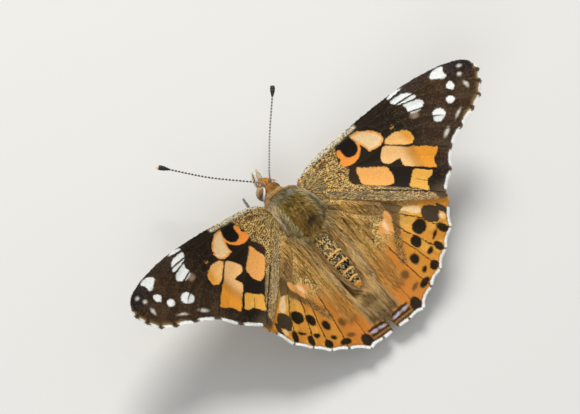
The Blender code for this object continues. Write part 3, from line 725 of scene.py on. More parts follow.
def hind_lower(x, y, cells):
    """Underside of the hindwing: brown and cream marbling, pale veins and a row of eyespots."""
    to_margin, place = line_distance(x, y, HIND_MARGIN_LINE)
    coat = Coat(rgb(150, 120, 84), cells)
    blotch = noise(x + 0.5 * y, y - 0.3 * x, 1.7, 31)
    fine = noise(x, y, 0.7, 32)
    coat.lay(rgb(218, 204, 172), ramp(blotch * 0.7 + fine * 0.3, 0.5, 0.58))
    coat.lay(rgb(104, 80, 54), (1 - ramp(blotch * 0.6 + fine * 0.4, 0.34, 0.4)) * 0.85)
    band = np.exp(-(((to_margin - 4.6 - 0.6 * np.sin(place * 1.7)) / 0.55) ** 2))
    coat.lay(rgb(228, 218, 194), band * 0.9)
    coat.lay(rgb(186, 150, 106), 1 - ramp(to_margin, 2.4, 2.9))
    for centre, size in EYESPOTS:
        for share, tone in EYESPOT_RINGS:
            coat.lay(tone, spot(x, y, centre, (size * share, size * share), 0, 0.07))
    coat.lay(rgb(112, 122, 136), np.exp(-(((to_margin - 0.95) / 0.12) ** 2)) * 0.8)
    coat.lay(rgb(226, 212, 182), (1 - ramp(nearest_vein(x, y, HIND_LINES), 0.06, 0.16)) * 0.8)
    white = fringe_white(place, HIND_ENDS, HIND_MARGIN_LINE, HIND_TICK)
    coat.lay(WHITE, (1 - ramp(to_margin, 0.36, 0.5)) * (0.3 + 0.7 * white))
    coat.speckle(0.5, 33, (rgb(238, 228, 204), rgb(92, 70, 46)), (0.14, 0.12))
    return coat.colours


# Wings: skin, scales and fringe

PLAN_LOW = np.array((-1.0, -3.0))
PLAN_SPAN = 34.0
MARGIN_OF_IMAGE = 0.01
DEPTH_ON_IMAGE = 0.31  # of the image's height for the span, so that both sides of a wing fit


def plan_uv(x, y, upper):
    """A place on the bake image: upper side in its lower half, underside in its upper half."""
    u = (x - PLAN_LOW[0]) / PLAN_SPAN * (1 - 2 * MARGIN_OF_IMAGE) + MARGIN_OF_IMAGE
    v = (y - PLAN_LOW[1]) / PLAN_SPAN * DEPTH_ON_IMAGE + MARGIN_OF_IMAGE
    return np.stack([u, np.where(upper, v, v + 0.5)], axis=1)


def wing_skin(name, outline, surface, upper, lower, side, made_of, centre):
    """The wing's thin membrane with its markings, a little inside the fringe."""
    lead, margin, inner = outline(SKIN_STEP)
    rim = np.vstack([lead, drawn_in(margin, centre, FRINGE * 0.7), inner])
    low, high = rim.min(axis=0), rim.max(axis=0)
    xs, ys = np.meshgrid(
        np.arange(low[0], high[0], SKIN_STEP), np.arange(low[1], high[1], SKIN_STEP * 0.87)
    )
    xs = xs + (np.arange(xs.shape[0]) % 2)[:, None] * SKIN_STEP / 2
    xs, ys = xs.ravel(), ys.ravel()
    keep = is_inside(xs, ys, rim)
    xs, ys = xs[keep], ys[keep]
    away, _ = line_distance(xs, ys, np.vstack([rim, rim[:1]]))
    keep = away > 0.5 * SKIN_STEP
    plan = np.vstack([rim, np.stack([xs[keep], ys[keep]], axis=1)])
    found = delaunay_2d_cdt([Vector(p) for p in plan.tolist()], [], [list(range(len(rim)))], 1, 1e-5)
    plan = np.array([tuple(p) for p in found[0]])
    triangles = np.array([tuple(f) for f in found[2]])
    count = len(plan)
    x, y = plan.T
    z = surface(x, y)
    edges = np.concatenate([triangles[:, [0, 1]], triangles[:, [1, 2]], triangles[:, [2, 0]]])
    code = edges[:, 0] * count + edges[:, 1]
    back = edges[:, 1] * count + edges[:, 0]
    a, b = edges[~np.isin(code, back)].T
    rim_faces = np.stack([b, a, count + a, count + b], axis=1)
    faces = [np.vstack([triangles, triangles[:, ::-1] + count]), rim_faces]
    points = np.vstack([np.column_stack([plan, z + SKIN_HALF]), np.column_stack([plan, z - SKIN_HALF])])
    cells = (np.round(x / SKIN_STEP), np.round(y / SKIN_STEP))
    colours = np.vstack([upper(x, y, cells), lower(x, y, cells)])
    uv = plan_uv(np.tile(x, 2), np.tile(y, 2), np.arange(2 * count) < count)
    return make_object(name, points, faces, made_of, colours, uv, side)


SCALE_CORNERS = (  # along, across, share of the lift
    (0.0, -0.55, 0.0), (0.0, 0.55, 0.0), (0.62, -1.0, 0.7), (0.62, 1.0, 0.7),
    (1.0, -0.5, 1.0), (1.0, 0.5, 1.0),
)
CILIUM_CORNERS = ((0.0, -1.0), (0.0, 1.0), (0.6, -1.1), (0.6, 1.1), (1.0, -0.3), (1.0, 0.3))
CILIUM_STEP = 0.03
CILIUM_HALF = 0.045


def wing_scales(name, outline, surface, colour_at, side, made_of, centre, fan, facing):
    """Rows of small overlapping scales, root towards the body, on one side of a wing."""
    lead, margin, inner = outline(0.4)
    rim = np.vstack([lead, drawn_in(margin, centre, FRINGE * 0.75), inner])
    radii = np.arange(2.0, 45.0, SCALE_ROW)
    xs, ys, rows, columns = [], [], [], []
    for row, radius in enumerate(radii):
        turns = np.arange(-0.7, 1.75, SCALE_ACROSS / radius)
        angle = turns + (row % 2) * 0.5 * SCALE_ACROSS / radius
        xs.append(fan[0] + radius * np.cos(angle))
        ys.append(fan[1] + radius * np.sin(angle))
        rows.append(np.full(len(angle), row))
        columns.append(np.arange(len(angle)))
    xs, ys, rows, columns = (np.concatenate(v) for v in (xs, ys, rows, columns))
    xs = xs + 0.035 * (scatter(rows, columns, 41) - 0.5)
    ys = ys + 0.035 * (scatter(rows, columns, 42) - 0.5)
    inside = is_inside(xs, ys, rim)
    xs, ys, rows, columns = xs[inside], ys[inside], rows[inside], columns[inside]
    roots = np.stack([xs, ys], axis=1)
    along = swung(unit(roots - fan), 0.22 * (scatter(rows, columns, 43) - 0.5))
    across = quarter_turned(along)
    length = SCALE_LENGTH * (0.85 + 0.35 * scatter(rows, columns, 44))
    width = SCALE_HALF * (0.9 + 0.25 * scatter(rows, columns, 45))
    lift = SCALE_LIFT * (1 + scatter(rows, columns, 46))
    corners = []
    for a, b, rise in SCALE_CORNERS:
        plan = roots + along * (length * a)[:, None] + across * (width * b)[:, None]
        z = surface(plan[:, 0], plan[:, 1]) + facing * (SKIN_HALF - 0.012 + lift * rise)
        corners.append(np.column_stack([plan, z]))
    points = np.stack(corners, axis=1).reshape(-1, 3)
    quads = blade_quads(len(xs))[:, ::facing]
    tone = 1 + 0.16 * (scatter(rows, columns, 47) - 0.5)
    colours = np.repeat(colour_at(xs, ys, (rows, columns)) * tone[:, None], 6, axis=0)
    uv = np.repeat(plan_uv(xs, ys, True), 6, axis=0)
    uv = uv + np.tile([(b * 0.0012, a * 0.0025) for a, b, _ in SCALE_CORNERS], (len(xs), 1))
    return make_object(name, points, [quads], made_of, colours, uv, side)


def wing_fringe(name, ends, line, surface, tick, dark, side, made_of, centre):
    """Two close layers of cilia along the outer margin, white between the veins."""
    lengths = run_along(line)
    place = np.arange(0.02, lengths[-1] - 0.02, CILIUM_STEP)
    number = np.arange(len(place))
    place = place + CILIUM_STEP * (scatter(number, 0, 51) - 0.5)
    root, tip = (
        np.stack([np.interp(place, lengths, at[:, i]) for i in (0, 1)], axis=1)
        for at in (drawn_in(line, centre, FRINGE), line)
    )
    out = swung(unit(tip - root), 0.3 * (scatter(number, 1, 52) - 0.5))
    across = quarter_turned(out)
    white = fringe_white(place, ends, line, tick)
    reach = (FRINGE + 0.12) * (0.8 + 0.3 * scatter(number, 2, 53)) * (0.62 + 0.38 * white)
    height = surface(*root.T) + np.where(number % 2 == 0, CILIUM_HALF, -CILIUM_HALF)
    droop = 0.05 * (scatter(number, 3, 54) - 0.6)
    corners = []
    for a, b in CILIUM_CORNERS:
        plan = root + out * (reach * a)[:, None] + across * (CILIUM_HALF * b)
        corners.append(np.column_stack([plan, height + droop * a]))
    points = np.stack(corners, axis=1).reshape(-1, 3)
    colours = paint(np.tile(dark, (len(place), 1)), WHITE, white * 0.97)
    colours = np.repeat(colours * (1 + 0.12 * (scatter(number, 4, 55) - 0.5))[:, None], 6, axis=0)
    uv = np.repeat(plan_uv(*root.T, True), 6, axis=0)
    uv = uv + np.tile([(0.0012 * i, 0.0008 * j) for i in (0, 1, 2) for j in (0, 1)], (len(place), 1))
    return make_object(name, points, [blade_quads(len(place))], made_of, colours, uv, side)


def build_wings():
    skin = marked_material("wing_skin", 0.7, 0.12, 0.02, specular=0.08)
    scales = marked_material("wing_scale", 0.6, 0.06, 0.01, specular=0.08, shade=0.12)
    fringe = marked_material("wing_fringe", 0.7, 0.1, 0.01, specular=0.1, shade=0.08)
    kinds = (
        ("forewing", fore_outline, fore_skin, fore_upper, fore_lower, FORE_CENTRE, (-3.0, -1.5)),
        ("hindwing", hind_outline, hind_skin, hind_upper, hind_lower, HIND_CENTRE, (-1.5, -2.0)),
    )
    margins = {
        "forewing": (FORE_ENDS, MARGIN_LINE, FORE_TICK, rgb(104, 90, 78)),
        "hindwing": (HIND_ENDS, HIND_MARGIN_LINE, HIND_TICK, rgb(120, 104, 86)),
    }
    for word, side in SIDES:
        for kind, outline, surface, upper, lower, centre, fan in kinds:
            name = f"{kind}_{word}"
            membrane = wing_skin(name + "_skin", outline, surface, upper, lower, side, skin, centre)
            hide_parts(name)
            for face, colour_at, facing in (("upper", upper, 1), ("lower", lower, -1)):
                coat = wing_scales(
                    f"{name}_scales_{face}", outline, surface, colour_at, side, scales, centre, fan, facing
                )
            ends, line, tick, dark = margins[kind]
            cilia = wing_fringe(name + "_fringe", ends, line, surface, tick, dark, side, fringe, centre)


# Body: one skin for head, thorax and abdomen, a little inside its coat

BODY = (  # along y, height of the middle, half width, half height
    (-3.36, -1.96, 0.20, 0.26), (-3.10, -1.92, 0.62, 0.70), (-2.60, -1.82, 0.90, 0.96),
    (-2.00, -1.80, 1.02, 1.04), (-1.60, -1.82, 1.20, 1.02), (-1.20, -1.86, 1.30, 1.08),
    (-0.85, -1.86, 1.42, 1.20), (-0.40, -1.80, 1.85, 1.50), (0.20, -1.72, 2.20, 1.74),
    (1.00, -1.64, 2.40, 1.90), (2.20, -1.60, 2.46, 2.00), (3.60, -1.60, 2.48, 2.04),
    (4.90, -1.72, 2.35, 1.80), (5.90, -1.92, 1.70, 1.42), (6.60, -2.06, 1.20, 1.14),
    (7.40, -2.18, 1.28, 1.30), (9.50, -2.50, 1.44, 1.42), (11.50, -2.85, 1.36, 1.32),
    (13.20, -3.10, 1.12, 1.08), (14.60, -3.28, 0.80, 0.76), (15.35, -3.36, 0.46, 0.44),
    (15.68, -3.40, 0.16, 0.15),
)
BODY_POWER = 2.2
HEAD_END = -1.3
THORAX_END = 6.6
ABDOMEN_SPECK = 0.16
FRONS_HAIRS = 900
COLLAR_HAIRS = 1300
SHOULDER_HAIRS = 3200
FLANK_HAIRS = 2600
TUFT_BEND = 0.6  # share of its lift that a tuft loses halfway
RINGS = (10.3, 11.7, 13.05, 14.1, 14.95)
SHOULDER = ((1.55, -0.85, -0.95), (2.2, -0.25, -0.35), (2.75, 0.9, 0.0), (3.1, 2.2, 0.05), (3.3, 3.4, -0.1))
BACKWARDS = np.array((0.0, 1.0, 0.0))
BODY_LINE = curve_through(BODY, 400)
BODY_START, BODY_STOP = BODY[0][0], BODY[-1][0]


def body_section(y):
    """Height of the middle, half width and half height of the body along y."""
    return (np.interp(y, BODY_LINE[:, 0], BODY_LINE[:, i]) for i in (1, 2, 3))


def body_at(y, angle):
    """Points on the body's skin. Angle 0 is the left side and a quarter turn is the top."""
    middle, wide, high = body_section(y)
    c, s = np.cos(angle), np.sin(angle)
    x = wide * np.sign(c) * np.abs(c) ** (2 / BODY_POWER)
    z = middle + high * np.sign(s) * np.abs(s) ** (2 / BODY_POWER)
    return np.stack([x, y + 0 * x, z], axis=-1)


def body_normal(y, angle):
    step = 0.02
    along = body_at(y + step, angle) - body_at(y - step, angle)
    round_it = body_at(y, angle + step) - body_at(y, angle - step)
    return unit(np.cross(along, round_it))


def body_uv(y, angle):
    turn = np.mod(angle / (2 * math.pi) + 0.25, 1.0)
    return np.stack([0.01 + 0.98 * turn, 0.01 + 0.98 * (y - BODY_START) / (BODY_STOP - BODY_START)], axis=-1)


def body_colours(y, angle, cells):
    """Markings of the skin and its coat."""
    y = y + 0.08 * (scatter(*cells, 61) - 0.5)
    side = np.abs(np.cos(angle))
    across = 2.4 * np.cos(angle)

    # Thorax: an olive disc with rusty and dark locks, pale flanks, a hazy front and a tan collar
    coat = Coat(rgb(152, 124, 60), cells)
    lumps = noise(across, y * 0.6, 0.5, 62) * 0.4 + noise(across, y * 0.4, 0.18, 67) * 0.6
    coat.lay(rgb(70, 52, 26), ramp(lumps, 0.45, 0.65) * 0.7)
    coat.lay(rgb(134, 84, 42), ramp(y, 2.4, 3.6) * ramp(noise(across, y * 0.6, 0.3, 68), 0.4, 0.65) * 0.35)
    coat.lay(rgb(178, 150, 88), ramp(noise(across, y * 0.4, 0.18, 69), 0.6, 0.75) * 0.7)
    coat.lay(rgb(192, 162, 98), ramp(side, 0.8, 0.95) * 0.85)
    front = 1 - ramp(y, 0.3, 1.3)
    coat.lay(rgb(112, 112, 88), front * 0.7)
    coat.lay(rgb(158, 160, 142), front * ramp(noise(across * 0.5, y, 0.3, 63), 0.35, 0.6) * 0.6)
    collar = (1 - ramp(y, -0.45, 0.0)) + (1 - ramp(y, 0.6, 1.6)) * ramp(side, 0.8, 0.95)
    collar = np.clip(collar, 0, 1)
    coat.lay(rgb(208, 164, 90), collar * 0.9)
    coat.lay(rgb(150, 150, 132), collar * ramp(noise(across, y * 3, 0.5, 70), 0.55, 0.7) * 0.6)
    coat.lay(rgb(40, 38, 36), spot(y, np.abs(angle - math.pi / 2), (5.0, 0.1), (0.5, 0.22), 0, 0.2) * 0.9)

    # Abdomen: brown flanks, a speckled back with a pale line at each ring, an orange tip
    specks = (np.floor(y / ABDOMEN_SPECK), np.floor(angle * 1.3 / ABDOMEN_SPECK))
    segment = Coat(rgb(196, 158, 98), specks)
    segment.lay(rgb(142, 110, 64), ramp(noise(angle * 1.3, y * 0.2, 0.1, 60), 0.4, 0.6) * 0.8)
    back = ramp(np.sin(angle), 0.3, 0.6)
    segment.lay(rgb(138, 112, 62), back * (1 - 0.4 * ramp(y, 8.0, 11.0)))
    tones = (rgb(16, 15, 13), rgb(58, 66, 74), rgb(228, 196, 130))
    segment.speckle(ramp(y, 6.6, 7.6) * back, 64, tones, (0.34, 0.12, 0.2))
    segment.lay(rgb(14, 13, 11), back * ramp(y, 9.5, 12.5) * (scatter(*specks, 65) > 0.72))
    for ring in RINGS:
        segment.lay(rgb(250, 196, 112), back * (y > ring) * (1 - ramp(y - ring, 0.2, 0.3)))
    segment.lay(rgb(232, 156, 62), ramp(y, 15.1, 15.3) * back)
    coat.lay(segment.colours, ramp(y, THORAX_END - 0.3, THORAX_END + 0.4))

    # Head
    head = 1 - ramp(y, HEAD_END - 0.15, HEAD_END + 0.15)
    coat.lay(rgb(206, 152, 78), head)
    coat.lay(rgb(140, 104, 62), head * ramp(noise(angle * 2, y, 0.5, 66), 0.5, 0.7) * 0.6)
    coat.lay(rgb(214, 196, 168), head * ramp(side, 0.55, 0.8) * (1 - ramp(y, -1.7, -1.4)) * 0.5)
    coat.lay(rgb(210, 196, 168), (1 - ramp(np.sin(angle), -0.45, -0.05)) * 0.9)
    return coat.colours


def build_body_skin():
    rings, sides = 170, 56
    ys = BODY_START + (BODY_STOP - BODY_START) * (0.5 - 0.5 * np.cos(np.linspace(0.0, math.pi, rings)))
    angles = np.linspace(0, 2 * math.pi, sides + 1) - math.pi / 2
    y, angle = (v.ravel() for v in np.meshgrid(ys, angles, indexing="ij"))
    points = body_at(y, angle)
    grid = np.arange(rings * (sides + 1)).reshape(rings, sides + 1)
    quads = np.stack([grid[:-1, :-1], grid[:-1, 1:], grid[1:, 1:], grid[1:, :-1]], axis=-1).reshape(-1, 4)
    ends = np.concatenate([points[grid[0]].mean(axis=0)[None], points[grid[-1]].mean(axis=0)[None]])
    first, last = len(points), len(points) + 1
    front = np.stack([grid[0, 1:], grid[0, :-1], np.full(sides, first)], axis=1)
    back = np.stack([grid[-1, :-1], grid[-1, 1:], np.full(sides, last)], axis=1)
    uv = np.stack([0.01 + 0.98 * (angle + math.pi / 2) / (2 * math.pi), body_uv(y, angle)[:, 1]], axis=1)
    uv = np.vstack([uv, [[0.5, 0.0], [0.5, 1.0]]])
    cells = (np.round(y / 0.13), np.round(angle * 9))
    colours = np.vstack([body_colours(y, angle, cells), np.tile(rgb(150, 112, 66), (2, 1))]) * 0.8
    made = marked_material("body_skin", 0.8, 0.15, 0.03, specular=0.15)
    skin = make_object("body_skin", np.vstack([points, ends]), [quads, front, back], made, colours, uv)
    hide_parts("head", "thorax", "abdomen")


def tufts(name, roots, normals, lie, length, width, degrees, colours, uv, made_of, slot, tip_tone=1.0):
    """Thin three-sided tufts from their roots, leaning along the lie and bending down towards it."""
    count = len(roots)
    length, width, degrees = (np.broadcast_to(v, count)[:, None] for v in (length, width, degrees))
    lift = np.radians(degrees)
    lie = unit(lie - normals * (lie * normals).sum(axis=1, keepdims=True))
    first = lie * np.cos(lift) + normals * np.sin(lift)
    second = lie * np.cos(lift * (1 - TUFT_BEND)) + normals * np.sin(lift * (1 - TUFT_BEND))
    across = np.cross(first, normals)
    upright = np.linalg.norm(across, axis=1, keepdims=True) <= 1e-3
    across = unit(np.where(upright, np.cross(first, lie + 0.1), across))
    up = np.cross(across, first)
    base = roots - first * 0.04
    middle = base + first * length * 0.5
    tip = middle + second * length * 0.5
    rings = []
    for place, share in ((base, 0.75), (middle, 1.0)):
        for a, b in ((1.0, -0.35), (0.0, 0.7), (-1.0, -0.35)):
            rings.append(place + (across * a + up * b) * width * share)
    points = np.stack(rings + [tip], axis=1).reshape(-1, 3)
    start = np.arange(count)[:, None] * 7
    quads, points_up = (
        np.vstack([start + np.array(corners[::-1]) for corners in faces])
        for faces in (((0, 3, 4, 1), (1, 4, 5, 2), (2, 5, 3, 0)), ((3, 6, 4), (4, 6, 5), (5, 6, 3)))
    )
    # Painted shade: the three root corners of each tuft are darkened to 0.72; the tip is scaled by tip_tone.
    shades = np.array((0.72, 0.72, 0.72, 1.0, 1.0, 1.0, tip_tone))
    tinted = (colours[:, None, :] * shades[None, :, None]).reshape(-1, 3)
    across_uv = (-0.001, 0, 0.001, -0.001, 0, 0.001, 0)
    along_uv = (-0.0012, -0.0012, -0.0012, 0, 0, 0, 0.0015)
    patches = (uv[:, None, :] + np.column_stack([across_uv, along_uv])).reshape(-1, 2)
    piece = make_object(name, points, [quads, points_up], made_of, tinted, np.clip(patches, 0, 1))


def tufts_on_both_sides(name, roots, normals, lie, *rest, **options):
    for word, side in SIDES:
        flip = RIGHT if side < 0 else 1.0
        tufts(f"{name}_{word}", roots * flip, normals * flip, lie * flip, *rest, **options)


def body_tufts(name, y, angle, lie, length, width, degrees, colours, made_of, tip_tone, slot="body_fur"):
    tufts(name, body_at(y, angle), body_normal(y, angle), lie, length, width, degrees, colours,
          body_uv(y, angle), made_of, slot, tip_tone)


def body_lattice(start, stop, row, across):
    """Evenly spread places on the skin from one end to the other, each row shifted by half a step."""
    places = []
    for number, y in enumerate(np.arange(start, stop, row)):
        _, wide, high = body_section(y)
        count = max(6, int(math.pi * (wide + high) / across))
        column = np.arange(count)
        turn = 2 * math.pi * (column + 0.5 * (number % 2)) / count
        places.append(np.stack([np.full(count, y), turn, np.full(count, number), column]))
    y, angle, *cells = np.hstack(places)
    return y + row * (scatter(*cells, 71) - 0.5), angle + 0.05 * (scatter(*cells, 72) - 0.5), cells


def thorax_coat(made):
    """Locks of fur combed back, each clump with its own lie."""
    y, angle, cells = body_lattice(-0.95, THORAX_END + 0.3, 0.10, 0.105)
    x = body_at(y, angle)[:, 0]
    side = np.abs(np.cos(angle))
    outward = np.stack([np.sign(np.cos(angle)), 0 * y, 0 * y], axis=1)
    swirl = np.stack([noise(x, y, 0.6, 73) - 0.5, 0.6 * (noise(x, y, 0.6, 74) - 0.5), 0 * y], axis=1)
    disc = (1 - ramp(side, 0.7, 0.9)) * ramp(y, 0.3, 1.5)
    lie = BACKWARDS + outward * (0.75 * side * ramp(y, -0.5, 1.0))[:, None] + swirl * (2.6 * disc)[:, None]
    lie = lie + random_turn(cells, 75) * 0.5
    length = 0.5 + 0.4 * ramp(y, -0.3, 1.5) + 0.7 * ramp(side, 0.75, 0.95) * ramp(y, 0.0, 1.5)
    length = length * (0.7 + 0.6 * scatter(*cells, 78))
    degrees = 20 + 12 * disc - 6 * side + 14 * (noise(x, y, 0.4, 79) - 0.5)
    tone = 0.4 + 0.35 * scatter(*cells, 77) + 0.8 * noise(x, y * 0.25, 0.13, 80)
    colours = body_colours(y, angle, cells) * tone[:, None]
    body_tufts("thorax_fur", y, angle, lie, length, 0.045, degrees, colours, made, 1.5)


def abdomen_coat(made):
    """Short scales in rows, longer on the flanks and next to the thorax."""
    y, angle, cells = body_lattice(THORAX_END + 0.2, BODY_STOP - 0.12, 0.10, 0.12)
    length = 0.17 + 0.5 * (1 - ramp(y, 7.0, 8.6)) + 0.6 * (1 - ramp(np.sin(angle), 0.25, 0.55))
    colours = body_colours(y, angle, cells) * (0.9 + 0.3 * scatter(*cells, 87))[:, None]
    lie = BACKWARDS + random_turn(cells, 83) * 0.3
    body_tufts("abdomen_fur", y, angle, lie, length, 0.06, 13.0, colours, made, 1.05, "abdomen_fur")


def head_coat(made):
    """Dense fur, longest on the crown and face, with none on the eyes."""
    y, angle, cells = body_lattice(BODY_START + 0.05, -0.8, 0.08, 0.085)
    clear = (np.abs(np.cos(angle)) <= 0.72) | (y >= -1.75)
    y, angle, cells = y[clear], angle[clear], [cell[clear] for cell in cells]
    face = 1 - ramp(y, -2.9, -2.2)
    crown = ramp(np.sin(angle), 0.1, 0.8)
    lie = np.array((0.0, -0.7, 0.6)) * face[:, None] + np.array((0.0, 0.5, 0.5)) * (1 - face[:, None])
    lie = lie + random_turn(cells, 93) * 0.7
    length = (0.3 + 0.25 * crown + 0.35 * face * crown) * (0.7 + 0.6 * scatter(*cells, 96))
    colours = body_colours(y, angle, cells) * (0.75 + 0.55 * scatter(*cells, 97))[:, None]
    body_tufts("head_fur", y, angle, lie, length, 0.03, 44.0 - 8 * face, colours, made, 1.25)


def frons_coat(made):
    """A brush of hair that stands forward between the eyes."""
    number = np.arange(FRONS_HAIRS)
    y = -3.3 + 0.85 * scatter(number, 0, 181)
    angle = np.radians(40 + 100 * scatter(number, 1, 182))
    lie = np.array((0.0, -1.0, 0.35)) + random_turn((number, 2), 183) * 0.4
    tones = (rgb(208, 146, 72), rgb(166, 112, 56), rgb(232, 178, 104), rgb(132, 96, 54))
    length = 0.7 + 0.4 * scatter(number, 4, 185)
    body_tufts("frons_fur", y, angle, lie, length, 0.034, 50.0, mixed(tones, (number, 3), 184), made, 1.2)


def collar_coat(made):
    """Upright hair that fills the neck."""
    number = np.arange(COLLAR_HAIRS)
    y = -1.5 + 1.2 * scatter(number, 0, 191)
    angle = np.radians(-10 + 200 * scatter(number, 1, 192))
    colours = body_colours(y + 0.3, angle, (number, 0)) * (0.7 + 0.6 * scatter(number, 3, 193))[:, None]
    lie = BACKWARDS + random_turn((number, 2), 194) * 0.6
    length = 0.5 + 0.4 * scatter(number, 4, 195)
    body_tufts("collar_fur", y, angle, lie, length, 0.036, 48.0, colours, made, 1.2)


def shoulder_coat(made):
    """Shoulder covers: long striped hairs from the collar back over the wing roots."""
    number = np.arange(SHOULDER_HAIRS)
    along, spread, depth = (scatter(number, i, 161 + i) for i in range(3))
    line = curve_through(SHOULDER, LINE_PLACES)
    at = (along * (LINE_PLACES - 1)).astype(int)
    tangent = unit(np.gradient(line, axis=0))[at]
    rising = unit(np.array((0.45, 0.0, 1.0)) + 0 * tangent)
    half = 0.18 + 0.34 * np.sin(math.pi * np.clip(0.15 + 0.85 * along, 0, 1))
    roots = line[at] + unit(np.cross(tangent, rising)) * (half * (2 * spread - 1))[:, None]
    roots = roots - rising * (0.55 * depth + 0.35 * (2 * spread - 1) ** 2)[:, None]
    colours = mixed((rgb(192, 158, 104), rgb(220, 190, 136), rgb(122, 92, 54)), (number, 1), 166)
    colours = paint(colours, rgb(156, 162, 154), ramp(np.sin(spread * 19 + 2.5 * along), 0.2, 0.7) * 0.7)
    colours = paint(colours, rgb(210, 156, 84), (1 - ramp(along, 0.1, 0.35)) * 0.85)
    colours = paint(colours, rgb(206, 148, 80), ramp(spread, 0.8, 0.95) * 0.7)
    length = (0.8 + 0.7 * along) * (0.7 + 0.6 * scatter(number, 2, 167))
    uv = np.stack([0.05 + 0.9 * along, 0.05 + 0.9 * spread], axis=1)
    lie = tangent + random_turn((number, 0), 163) * 0.25
    tufts_on_both_sides("shoulder_fur", roots, rising, lie, length, 0.042, 7.0, colours, uv, made,
                        "body_fur", tip_tone=1.1)


def flank_coat(made):
    """Pale soft hairs spreading from the thorax over the wings."""
    number = np.arange(FLANK_HAIRS)
    y = 0.6 + 5.0 * scatter(number, 0, 171)
    angle = np.radians(8 + 44 * scatter(number, 1, 172))
    tones = (rgb(176, 156, 104), rgb(206, 188, 138), rgb(118, 98, 60), rgb(176, 164, 120))
    colours = mixed(tones, (number, 3), 173)
    length = (1.0 + 1.0 * scatter(number, 2, 174)) * (1 - 0.35 * ramp(y, 4.0, 5.6))
    lie = np.array((1.0, 0.85, 0.0)) + random_turn((number, 4), 175) * 0.7
    for word, side in SIDES:
        flip = RIGHT if side < 0 else 1.0
        uv = body_uv(y, angle if side > 0 else math.pi - angle)
        tufts(f"flank_fur_{word}", body_at(y, angle) * flip, body_normal(y, angle) * flip, lie * flip,
              length, 0.034, 34.0, colours, uv, made, "body_fur", tip_tone=1.15)


def build_body_coat():
    made = marked_material("body_fur", 0.75, 0.2, 0.01, specular=0.12, shade=0.1)
    for coat in (thorax_coat, abdomen_coat, head_coat, frons_coat, collar_coat, shoulder_coat, flank_coat):
        coat(made)


def surface_normal(surface, x, y):
    step = 0.03
    slope_x = (surface(x + step, y) - surface(x - step, y)) / (2 * step)
    slope_y = (surface(x, y + step) - surface(x, y - step)) / (2 * step)
    return unit(np.stack([-slope_x, -slope_y, np.ones(len(x))], axis=1))


def wing_hairs(name, region, spacing, surface, lie_at, length, width, degrees, tones, side, made_of):
    """Long hairs lying on a wing inside a plan region. tones gives each hair's colour from its place."""
    region = np.array(region)
    low, high = region.min(axis=0), region.max(axis=0)
    rows, columns = np.meshgrid(*(np.arange(span / spacing) for span in high - low))
    rows, columns = rows.ravel(), columns.ravel()
    x = low[0] + spacing * (rows + 0.9 * scatter(rows, columns, 101))
    y = low[1] + spacing * (columns + 0.9 * scatter(rows, columns, 102))
    keep = is_inside(x, y, region)
    x, y, cells = x[keep], y[keep], (rows[keep], columns[keep])
    flip = RIGHT if side < 0 else 1.0
    roots = np.column_stack([x, y, surface(x, y) + SKIN_HALF]) * flip
    lie = unit(np.column_stack([*lie_at(x, y), 0 * x])) + random_turn(cells, 103) * 0.16
    reach = length(y) * (0.7 + 0.6 * scatter(*cells, 106))
    tufts(name, roots, surface_normal(surface, x, y) * flip, lie * flip, reach, width, degrees,
          tones(x, y, cells), plan_uv(x, y, True), made_of, "wing_scales")


def lined(x, y, cells, tones, seed):
    """Dark, middle and light hairs in fine lines that follow the lie."""
    beside = (x - 3.0) * (17.0 / (y + 8.0)) ** 0.35
    pick = 0.8 * noise(beside, y * 0.04, 0.09, seed) + 0.2 * scatter(*cells, seed + 1)
    dark, middle, light = tones
    colours = paint(np.tile(dark, (len(x), 1)), middle, ramp(pick, 0.28, 0.36))
    return paint(colours, light, ramp(pick, 0.56, 0.64))


def hind_tones(x, y, cells):
    colours = lined(x, y, cells, (rgb(92, 66, 34), rgb(190, 146, 76), rgb(236, 192, 112)), 111)
    # Painted light: the hairs are lightened by up to a fifth beyond x 4.5, to lift the shade that falls on
    # them there.
    colours = colours * (1 + 0.2 * ramp(x, 4.5, 6.5))[:, None]
    return paint(colours, rgb(208, 146, 68), ramp(y + 0.2 * x, 12.0, 15.0) * 0.6)


def trough_tones(x, y, cells):
    colours = lined(x, y, cells, (rgb(150, 114, 64), rgb(212, 170, 106), rgb(240, 204, 140)), 116)
    return colours * (1 - 0.5 * ramp(y, 14.5, 18.0))[:, None]


def dark_tones(x, y, cells):
    return lined(x, y, cells, (rgb(92, 68, 42), rgb(156, 120, 74), rgb(206, 164, 102)), 119)


def mixed_tones(seed, *tones):
    return lambda x, y, cells: mixed(tones, cells, seed)


def steady(size):
    """A length that is the same all over a region."""
    return lambda y: size + 0 * y


def hind_lie(x, y):
    return (x - 3.0) * 0.35, y + 8.0


def slanted(across, back):
    """A lie that is the same all over a region."""
    return lambda x, y: (across + 0 * x, back + 0 * y)


def spread_from(middle_x, middle_y):
    """A lie that spreads from one place."""
    return lambda x, y: (x - middle_x, y - middle_y)


